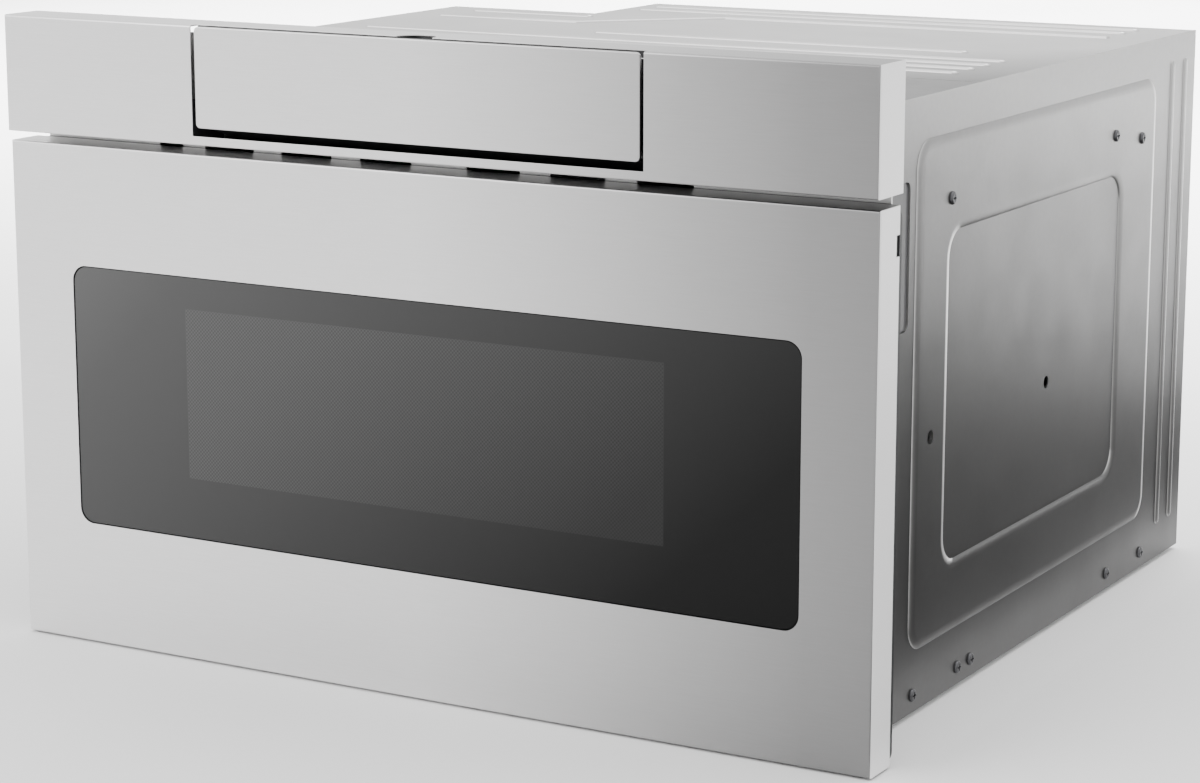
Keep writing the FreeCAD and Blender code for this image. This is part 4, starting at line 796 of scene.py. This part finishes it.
class DRAWER_OT_fascia(bpy.types.Operator):
    """Fold the fascia, open it for the control panel and notch its top"""
    bl_idname = "drawer.fascia"
    bl_label = "Fascia"

    def execute(self, context):
        steel, panel = settings("stainless"), settings("panel")
        piece = folded_shell("fascia_strip", FASCIA_LOW, FASCIA_HIGH, steel.fold, steel.wall)
        left, right = PANEL_LOW.x - OPENING_SIDE, PANEL_HIGH.x + OPENING_SIDE
        depth = FRONT + OPENING_DEPTH
        opening = start("opening", (left, FRONT - CUTTER_REACH, PANEL_LOW.z - OPENING_FOOT),
                        (right, depth, FASCIA_HIGH.z + CUTTER_REACH))
        cut(piece, opening)
        back = FRONT + panel.notch_depth
        cut(piece, self.notch(panel, back))
        break_edges(piece)
        finish_piece(piece, FINISHES["front_sheet"], "chassis", ["fascia"])
        reach = panel.notch_half + NOTCH_LIP_SIDE
        self.turned_edge("opening_lip", left, right, depth, HOUSING_TOP + 0.6 * MM)
        self.turned_edge("notch_lip", -reach, reach, back, FASCIA_HIGH.z - NOTCH_LIP_FOOT)
        return {"FINISHED"}

    def notch(self, panel, back):
        """The half-round finger notch, as the space to cut away."""
        notch = start("notch", (-panel.notch_half, FRONT - CUTTER_REACH, FASCIA_HIGH.z - 4 * MM),
                      (panel.notch_half, back, FASCIA_HIGH.z + CUTTER_REACH))
        bevel_edges(notch, lambda first, second: along(2)(first, second) and first.y > back - SAME_LEVEL,
                    panel.notch_half * 0.96, 10)
        return notch

    def turned_edge(self, name, left, right, behind, foot):
        """A lip hanging from the top flange, close behind an opening, painted dark as the shade in the gap.
        """
        near = behind + LIP_GAP
        lip = rounded_block(name, (left, near, foot),
                            (right, near + LIP_SHEET, FASCIA_HIGH.z - LIP_UNDER), 1, 0.4 * MM, 2)
        finish_piece(lip, FINISHES["slot_liner"], "chassis", [])


class DRAWER_OT_control_panel(bpy.types.Operator):
    """Fold the stainless face of the flip-up control panel"""
    bl_idname = "drawer.control_panel"
    bl_label = "Control panel"

    def execute(self, context):
        panel = settings("panel")
        back = Vector((PANEL_HIGH.x, PANEL_LOW.y + panel.flange, PANEL_HIGH.z))
        piece = rounded_block("control_face", PANEL_LOW, back, 1, panel.corner, 6)
        bevel_edges(piece, before(PANEL_LOW.y), 0.7 * MM, 3)
        hollow(piece, settings("stainless").wall)
        finish_piece(piece, FINISHES["front_sheet"], "control_panel", ["control_skin"])
        return {"FINISHED"}


# ---- body sheets --------------------------------------------------------------------------------

SHEET = 1.2 * MM

# The raised frame of a side and its inner edge: behind the fascia's face, before the
# sheet's rear end, and over the floor.
FRAME_BEFORE, FRAME_BEHIND = 113 * MM, 77 * MM
FRAME_FOOT, FRAME_HEAD = 41.3 * MM, 348.3 * MM
INNER_BEFORE, INNER_BEHIND = 161 * MM, 142 * MM
INNER_FOOT, INNER_HEAD = 86.3 * MM, 289.3 * MM

# The upright beads, whose slope is a share of their half width.
BEAD_FOOT, BEAD_HEAD = 28 * MM, 356 * MM
BEADS_BEHIND = (20 * MM, 45 * MM)
BEAD_SLOPE = 0.72

# The slot at the front edge, dark with a plate of painted shade inside, and the two round holes.
SLOT_BACK, SLOT_FOOT, SLOT_HEAD, SLOT_CORNER = 104.6 * MM, 238.8 * MM, 326.3 * MM, 5 * MM
HOLE_LEVEL = 169.6 * MM
HOLES_BEHIND_FRONT = (136.7 * MM, 321.5 * MM)

# The roof's ribs: the full-width ones reach this far each way, in rows behind the front.
RIB_HALF = 243 * MM
FIRST_ROW, ROW_PITCH, ROWS = 243 * MM, 25 * MM, 4


def round_bar(vertices, radius, depth, middle, turn=(0, 0, 0)):
    """A cylinder with its place in its mesh."""
    bpy.ops.object.select_all(action="DESELECT")
    bpy.ops.mesh.primitive_cylinder_add(vertices=vertices, radius=radius, depth=depth, location=middle,
                                        rotation=turn)
    bpy.ops.object.transform_apply(location=True, rotation=True, scale=True)
    return bpy.context.object


class DRAWER_OT_side_sheets(bpy.types.Operator):
    """Press the framed panels, the beads, the slot and the holes into the two side sheets"""
    bl_idname = "drawer.side_sheets"
    bl_label = "Side sheets"

    def execute(self, context):
        for name, side, end in (("right", 1, REAR), ("left", -1, STEP)):
            self.side_sheet("side_panel_" + name, side, end)
        return {"FINISHED"}

    def side_sheet(self, node, side, end):
        """One side, shaped as the right-hand one and turned over for the left."""
        pressing = settings("pressing")
        face = SHEET_HIGH.x - pressing.rise
        inside = face - SHEET
        sheet = start(node + "_sheet", (inside, SHEET_LOW.y, SHEET_LOW.z), (face, end, SHEET_HIGH.z))
        reach = pressing.slope * 2
        slot = rounded_block("slot", (inside - reach, SHEET_LOW.y - SLOT_CORNER * 2, SLOT_FOOT),
                             (face + reach, FRONT + SLOT_BACK, SLOT_HEAD), 0, SLOT_CORNER, 6)
        fore, aft = FRONT + HOLES_BEHIND_FRONT[0], end - REAR + FRONT + HOLES_BEHIND_FRONT[1]
        cut(sheet, join([slot, self.hole(face, fore, pressing.hole), self.hole(face, aft, pressing.hole)]))
        land = self.land(face, end, pressing)
        cut(land, self.hole(face, fore, pressing.hole * 1.06))
        slope = pressing.half * BEAD_SLOPE
        pressed = [land]
        for behind in BEADS_BEHIND:
            middle = end - behind
            spans = ((middle - pressing.half, middle + pressing.half), (BEAD_FOOT, BEAD_HEAD))
            bead, crown = raised("bead", 0, face, slope, spans, pressing.half * 0.97)
            press(bead, 0, face, crown, slope, pressing.rise * 0.75)
            pressed.append(bead)
        fuse(sheet, join(pressed))
        if side < 0:
            turn_over(sheet)
        finish_piece(sheet, FINISHES["side_sheet"], "chassis", [node])
        self.slot_liner(node, side, inside)

    def land(self, face, end, pressing):
        """The raised frame round the pan of a side."""
        frame_spans = ((FRONT + FRAME_BEFORE, end - FRAME_BEHIND), (FRAME_FOOT, FRAME_HEAD))
        land, crown = raised("land", 0, face, pressing.slope, frame_spans, pressing.corner)
        reach = pressing.slope * 2
        pan = rounded_block("pan", (face - reach, FRONT + INNER_BEFORE, INNER_FOOT),
                            (crown + reach, end - INNER_BEHIND, INNER_HEAD), 0, pressing.corner)
        cut(land, pan)
        press(land, 0, face, crown, pressing.slope, pressing.rise)
        return land

    def hole(self, face, along_side, radius):
        return round_bar(32, radius, 12 * MM, (face, along_side, HOLE_LEVEL), (0, math.pi / 2, 0))

    def slot_liner(self, node, side, inside):
        """A dark plate that closes the slot from inside: painted shade, standing in for the shadowed steel
        seen through the slot.
        """
        near, far = sorted((side * (inside - 1 * MM), side * (inside - 0.1 * MM)))
        margin = 4 * MM
        liner = rounded_block(node + "_slot_liner", (near, SHEET_LOW.y + 1 * MM, SLOT_FOOT - margin),
                              (far, FRONT + SLOT_BACK + margin, SLOT_HEAD + margin), 0, SLOT_CORNER, 6)
        finish_piece(liner, FINISHES["slot_liner"], "chassis", [])


class DRAWER_OT_roof(bpy.types.Operator):
    """Press the ribs into the rear roof sheet"""
    bl_idname = "drawer.roof"
    bl_label = "Roof"

    def execute(self, context):
        pressing = settings("pressing")
        face = ROOF_HIGH.z - pressing.rise
        sheet = start("roof_sheet", ROOF_LOW, (ROOF_HIGH.x, ROOF_HIGH.y, face))
        beyond = 20 * MM
        corner = start("corner", (ROOF_LOW.x - beyond, STEP - SHEET, ROOF_LOW.z - beyond),
                       (STEP_X + SHEET, ROOF_HIGH.y + beyond, face + beyond))
        cut(sheet, corner)
        under = face - SHEET
        wide = start("wide", (ROOF_LOW.x + SHEET, ROOF_LOW.y - beyond, ROOF_LOW.z - beyond),
                     (ROOF_HIGH.x - SHEET, STEP - SHEET * 2, under))
        cut(sheet, wide)
        narrow = start("narrow", (STEP_X + SHEET * 2, ROOF_LOW.y - beyond, ROOF_LOW.z - beyond),
                       (ROOF_HIGH.x - SHEET, ROOF_HIGH.y - SHEET, under))
        cut(sheet, narrow)
        slope = pressing.half * BEAD_SLOPE
        ribs = [self.stepped_rib(face, pressing)]
        for left, right, middle in self.ribs():
            spans = ((left, right), (middle - pressing.half, middle + pressing.half))
            rib, crown = raised("rib", 2, face, slope, spans, pressing.half * 0.97)
            press(rib, 2, face, crown, slope, pressing.rise)
            ribs.append(rib)
        fuse(sheet, join(ribs))
        finish_piece(sheet, FINISHES["roof_sheet"], "chassis", ["top_cover"])
        return {"FINISHED"}

    def ribs(self):
        """The straight ribs, each (left end, right end, middle)."""
        found = [(-RIB_HALF, RIB_HALF, FRONT + FIRST_ROW + ROW_PITCH * row) for row in range(ROWS)]
        found += [(-141 * MM, RIB_HALF, REAR - behind * MM) for behind in (52, 27)]
        found.append((-81 * MM, 199 * MM, FRONT + 360 * MM))
        found.append((-RIB_HALF, -141 * MM, STEP - 26 * MM))
        return found

    def stepped_rib(self, face, pressing):
        """The rib that steps back at 45 degrees around the missing corner."""
        before, bend, rise = STEP - 69 * MM, -128 * MM, 79 * MM
        slope = pressing.half * BEAD_SLOPE
        crown = face + slope
        rib = start("stepped", (-RIB_HALF, before - pressing.half, face - slope * 0.2),
                    (bend, before + pressing.half, crown))
        for step in ((rise, rise, 0), (RIB_HALF - bend - rise, 0, 0)):
            end = max(corner.co.x for corner in rib.data.vertices)
            pick_faces(rib, lambda middle, normal: middle.x > end - SAME_LEVEL)
            bpy.ops.mesh.extrude_region_move(TRANSFORM_OT_translate={"value": step})
            bpy.ops.object.mode_set(mode="OBJECT")
        press(rib, 2, face, crown, slope, pressing.rise)
        return rib


# ---- screws -------------------------------------------------------------------------------------

# Screws of the sides: a row in the foot, measured from the fascia's face, and one on the frame.
FOOT_LEVEL, FRAME_LEVEL = 14.4 * MM, 309.5 * MM
FOOT_SCREWS = (121 * MM, 188 * MM, 208 * MM)

# Screws of the rear panel: the top row's level, and the first and last in a row.
REAR_LEVEL = 365.3 * MM
REAR_EDGE, REAR_LAST = 14 * MM, 259.8 * MM

SHANK_RADIUS, SHANK_LENGTH, SHANK_OVERLAP = 2 * MM, 7.2 * MM, 0.2 * MM


class DRAWER_OT_screws(bpy.types.Operator):
    """Turn the pan-head screws of the sides and the rear"""
    bl_idname = "drawer.screws"
    bl_label = "Screws"

    def execute(self, context):
        pressing = settings("pressing")
        body = SHEET_HIGH.x - pressing.rise
        heads = []
        for side, end in ((1, REAR), (-1, STEP)):
            turn = (0, side * math.pi / 2, 0)
            for along_side, level in self.foot_spots(end):
                heads.append(self.screw((side * body, along_side, level), turn))
            for along_side, level in self.head_spots(end):
                heads.append(self.screw((side * SHEET_HIGH.x, along_side, level), turn))
        self.gather("pan_screws_side", heads, "side_screws")
        heads = [self.screw((x, REAR, z), (-math.pi / 2, 0, 0)) for x, z in self.rear_spots()]
        self.gather("pan_screws_rear", heads, "rear_screws")
        return {"FINISHED"}

    def foot_spots(self, end):
        places = [FRONT + behind for behind in FOOT_SCREWS] + [end - INNER_BEHIND, end - FRAME_BEHIND]
        return [(place, FOOT_LEVEL) for place in places]

    def head_spots(self, end):
        return [(FRONT + INNER_BEFORE, FRAME_LEVEL), (end - FRAME_BEHIND * 2, FRAME_LEVEL + 7 * MM),
                (end - FRAME_BEHIND - 28 * MM, FRAME_LEVEL)]

    def rear_spots(self):
        places = (STEP_X + REAR_EDGE, -STEP_X / 2, REAR_LAST)
        return [(x, z) for x in places for z in (FOOT_LEVEL, REAR_LEVEL)]

    def screw(self, place, turn):
        """One pan head with a cross recess and its shank, pointing out along its own Z."""
        size = settings("screw")
        head = round_bar(28, size.head, size.dome, (0, 0, size.dome / 2))
        ease_crown(head, 2, size.dome, size.dome * 0.8)
        long, wide, deep = size.head * 0.55, size.head * 0.12, size.dome * 0.55
        for reach in ((long, wide), (wide, long)):
            cut(head, start("recess", (-reach[0], -reach[1], size.dome - deep),
                            (reach[0], reach[1], size.dome + deep)))
        fuse(head, round_bar(12, SHANK_RADIUS, SHANK_LENGTH, (0, 0, SHANK_OVERLAP - SHANK_LENGTH / 2)))
        head.data.transform(Matrix.Translation(place) @ Euler(turn).to_matrix().to_4x4())
        return head

    def gather(self, name, heads, node):
        """Join the screws of one kind and hang them on the body."""
        screws = join(heads)
        screws.name = screws.data.name = name
        finish_piece(screws, FINISHES["screw_steel"], "chassis", [node])


# ---- stage ------------------------------------------------------------------------------------

# The camera solved from the photograph: its place from the fascia's face and the drawer
# front's foot in metres, its turns in radians and its lens in millimetres.
CAMERA_FRONT = (1.0185, -1.5502, 0.5830)
CAMERA_YAW = 0.5207
CAMERA_PITCH = -0.2081
CAMERA_LENS = 95.2

FLOOR_SIZE = 14
FLAG_PLACE, FLAG_SIZE = (1.0, 0.2, 0.002), (1.36, 1.3, 1)


class DRAWER_OT_stage(bpy.types.Operator):
    """Set the floor, the soft lights and the camera at the photograph's angle"""
    bl_idname = "drawer.stage"
    bl_label = "Stage"

    def execute(self, context):
        self.camera()
        self.floor()
        self.flag()
        self.lights()
        return {"FINISHED"}

    def camera(self):
        bpy.ops.object.camera_add()
        camera = bpy.context.object
        camera.data.lens = CAMERA_LENS
        camera.data.sensor_width = 36
        camera.data.clip_end = 50
        across, back, up = CAMERA_FRONT
        camera.location = (across, back + FASCIA_LOW.y, up + SKIN_LOW.z)
        camera.rotation_euler = (math.pi / 2 + CAMERA_PITCH, 0, CAMERA_YAW)
        bpy.context.scene.camera = camera

    def floor(self):
        bpy.ops.mesh.primitive_plane_add(size=FLOOR_SIZE, location=(0, 0, 0))
        floor = bpy.context.object
        floor.name = "floor"
        finish = Finish("Pale floor", grey(0.82), 0.75)
        soft = finish.noise(3, (1, 1, 1), 2.0)
        finish.feed("Base Color", finish.ramp(soft, (0.3, grey(0.80)), (0.7, grey(0.84))))
        floor.data.materials.append(finish.material)

    def flag(self):
        """A dark card beside the right-hand side that only its reflections show."""
        bpy.ops.mesh.primitive_plane_add(size=1, location=FLAG_PLACE)
        card = bpy.context.object
        card.name = "flag"
        card.scale = FLAG_SIZE
        card.data.materials.append(plastic("Flag cloth", (0.08, 0.08, 0.08), 0.9))
        card.visible_camera = card.visible_diffuse = card.visible_shadow = False
        card.visible_transmission = False

    def lights(self):
        light = settings("light")
        world = bpy.context.scene.world or bpy.data.worlds.new("Studio")
        bpy.context.scene.world = world
        world.use_nodes = True
        ground = world.node_tree.nodes["Background"]
        ground.inputs["Color"].default_value = (1, 1, 1, 1)
        ground.inputs["Strength"].default_value = light.sky
        self.area("Key light", (-1.6, -2.4, 2.2), (0, 0, 0.2), 2.6, light.key)
        self.area("Roof light", (0.3, 0.6, 2.8), (0, 0.1, 0.3), 2.4, light.key * 0.7)
        self.area("Rear floor light", (-1.4, 3.4, 3.0), (-1.4, 3.4, 0), 4.4, light.rear)
        bpy.context.object.data.spread = math.radians(60)

    def area(self, name, place, target, size, power):
        bpy.ops.object.light_add(type="AREA", location=place)
        lamp = bpy.context.object
        lamp.name = name
        lamp.data.size = size
        lamp.data.energy = power
        aim = Vector(target) - Vector(place)
        lamp.rotation_euler = aim.to_track_quat("-Z", "Y").to_euler()


OPERATORS = (DRAWER_OT_finishes, DRAWER_OT_drawer_front, DRAWER_OT_door_glass, DRAWER_OT_fascia,
             DRAWER_OT_control_panel, DRAWER_OT_side_sheets, DRAWER_OT_roof, DRAWER_OT_screws,
             DRAWER_OT_stage)


class DRAWER_PT_sidebar(bpy.types.Panel):
    """The pieces of the microwave drawer, and their sizes and colours"""
    bl_idname = "DRAWER_PT_sidebar"
    bl_label = "Microwave Drawer"
    bl_space_type = "VIEW_3D"
    bl_region_type = "UI"
    bl_category = "Microwave Drawer"

    def draw(self, context):
        for operator in OPERATORS:
            self.layout.operator(operator.bl_idname)
        for group in SETTINGS:
            values = settings(group_name(group))
            for name in group.__annotations__:
                self.layout.prop(values, name)


def group_name(group):
    """The scene's name for a group of settings."""
    return group.__name__.replace("Settings", "").lower()


def register():
    for kind in (*SETTINGS, *OPERATORS, DRAWER_PT_sidebar):
        bpy.utils.register_class(kind)
    for group in SETTINGS:
        setattr(bpy.types.Scene, "drawer_" + group_name(group), bpy.props.PointerProperty(type=group))


def unregister():
    for group in SETTINGS:
        delattr(bpy.types.Scene, "drawer_" + group_name(group))
    for kind in reversed((*SETTINGS, *OPERATORS, DRAWER_PT_sidebar)):
        bpy.utils.unregister_class(kind)


def main():
    register()
    for operator in OPERATORS:
        section, step = operator.bl_idname.split(".")
        getattr(getattr(bpy.ops, section), step)()


if __name__ == "__main__":
    main()
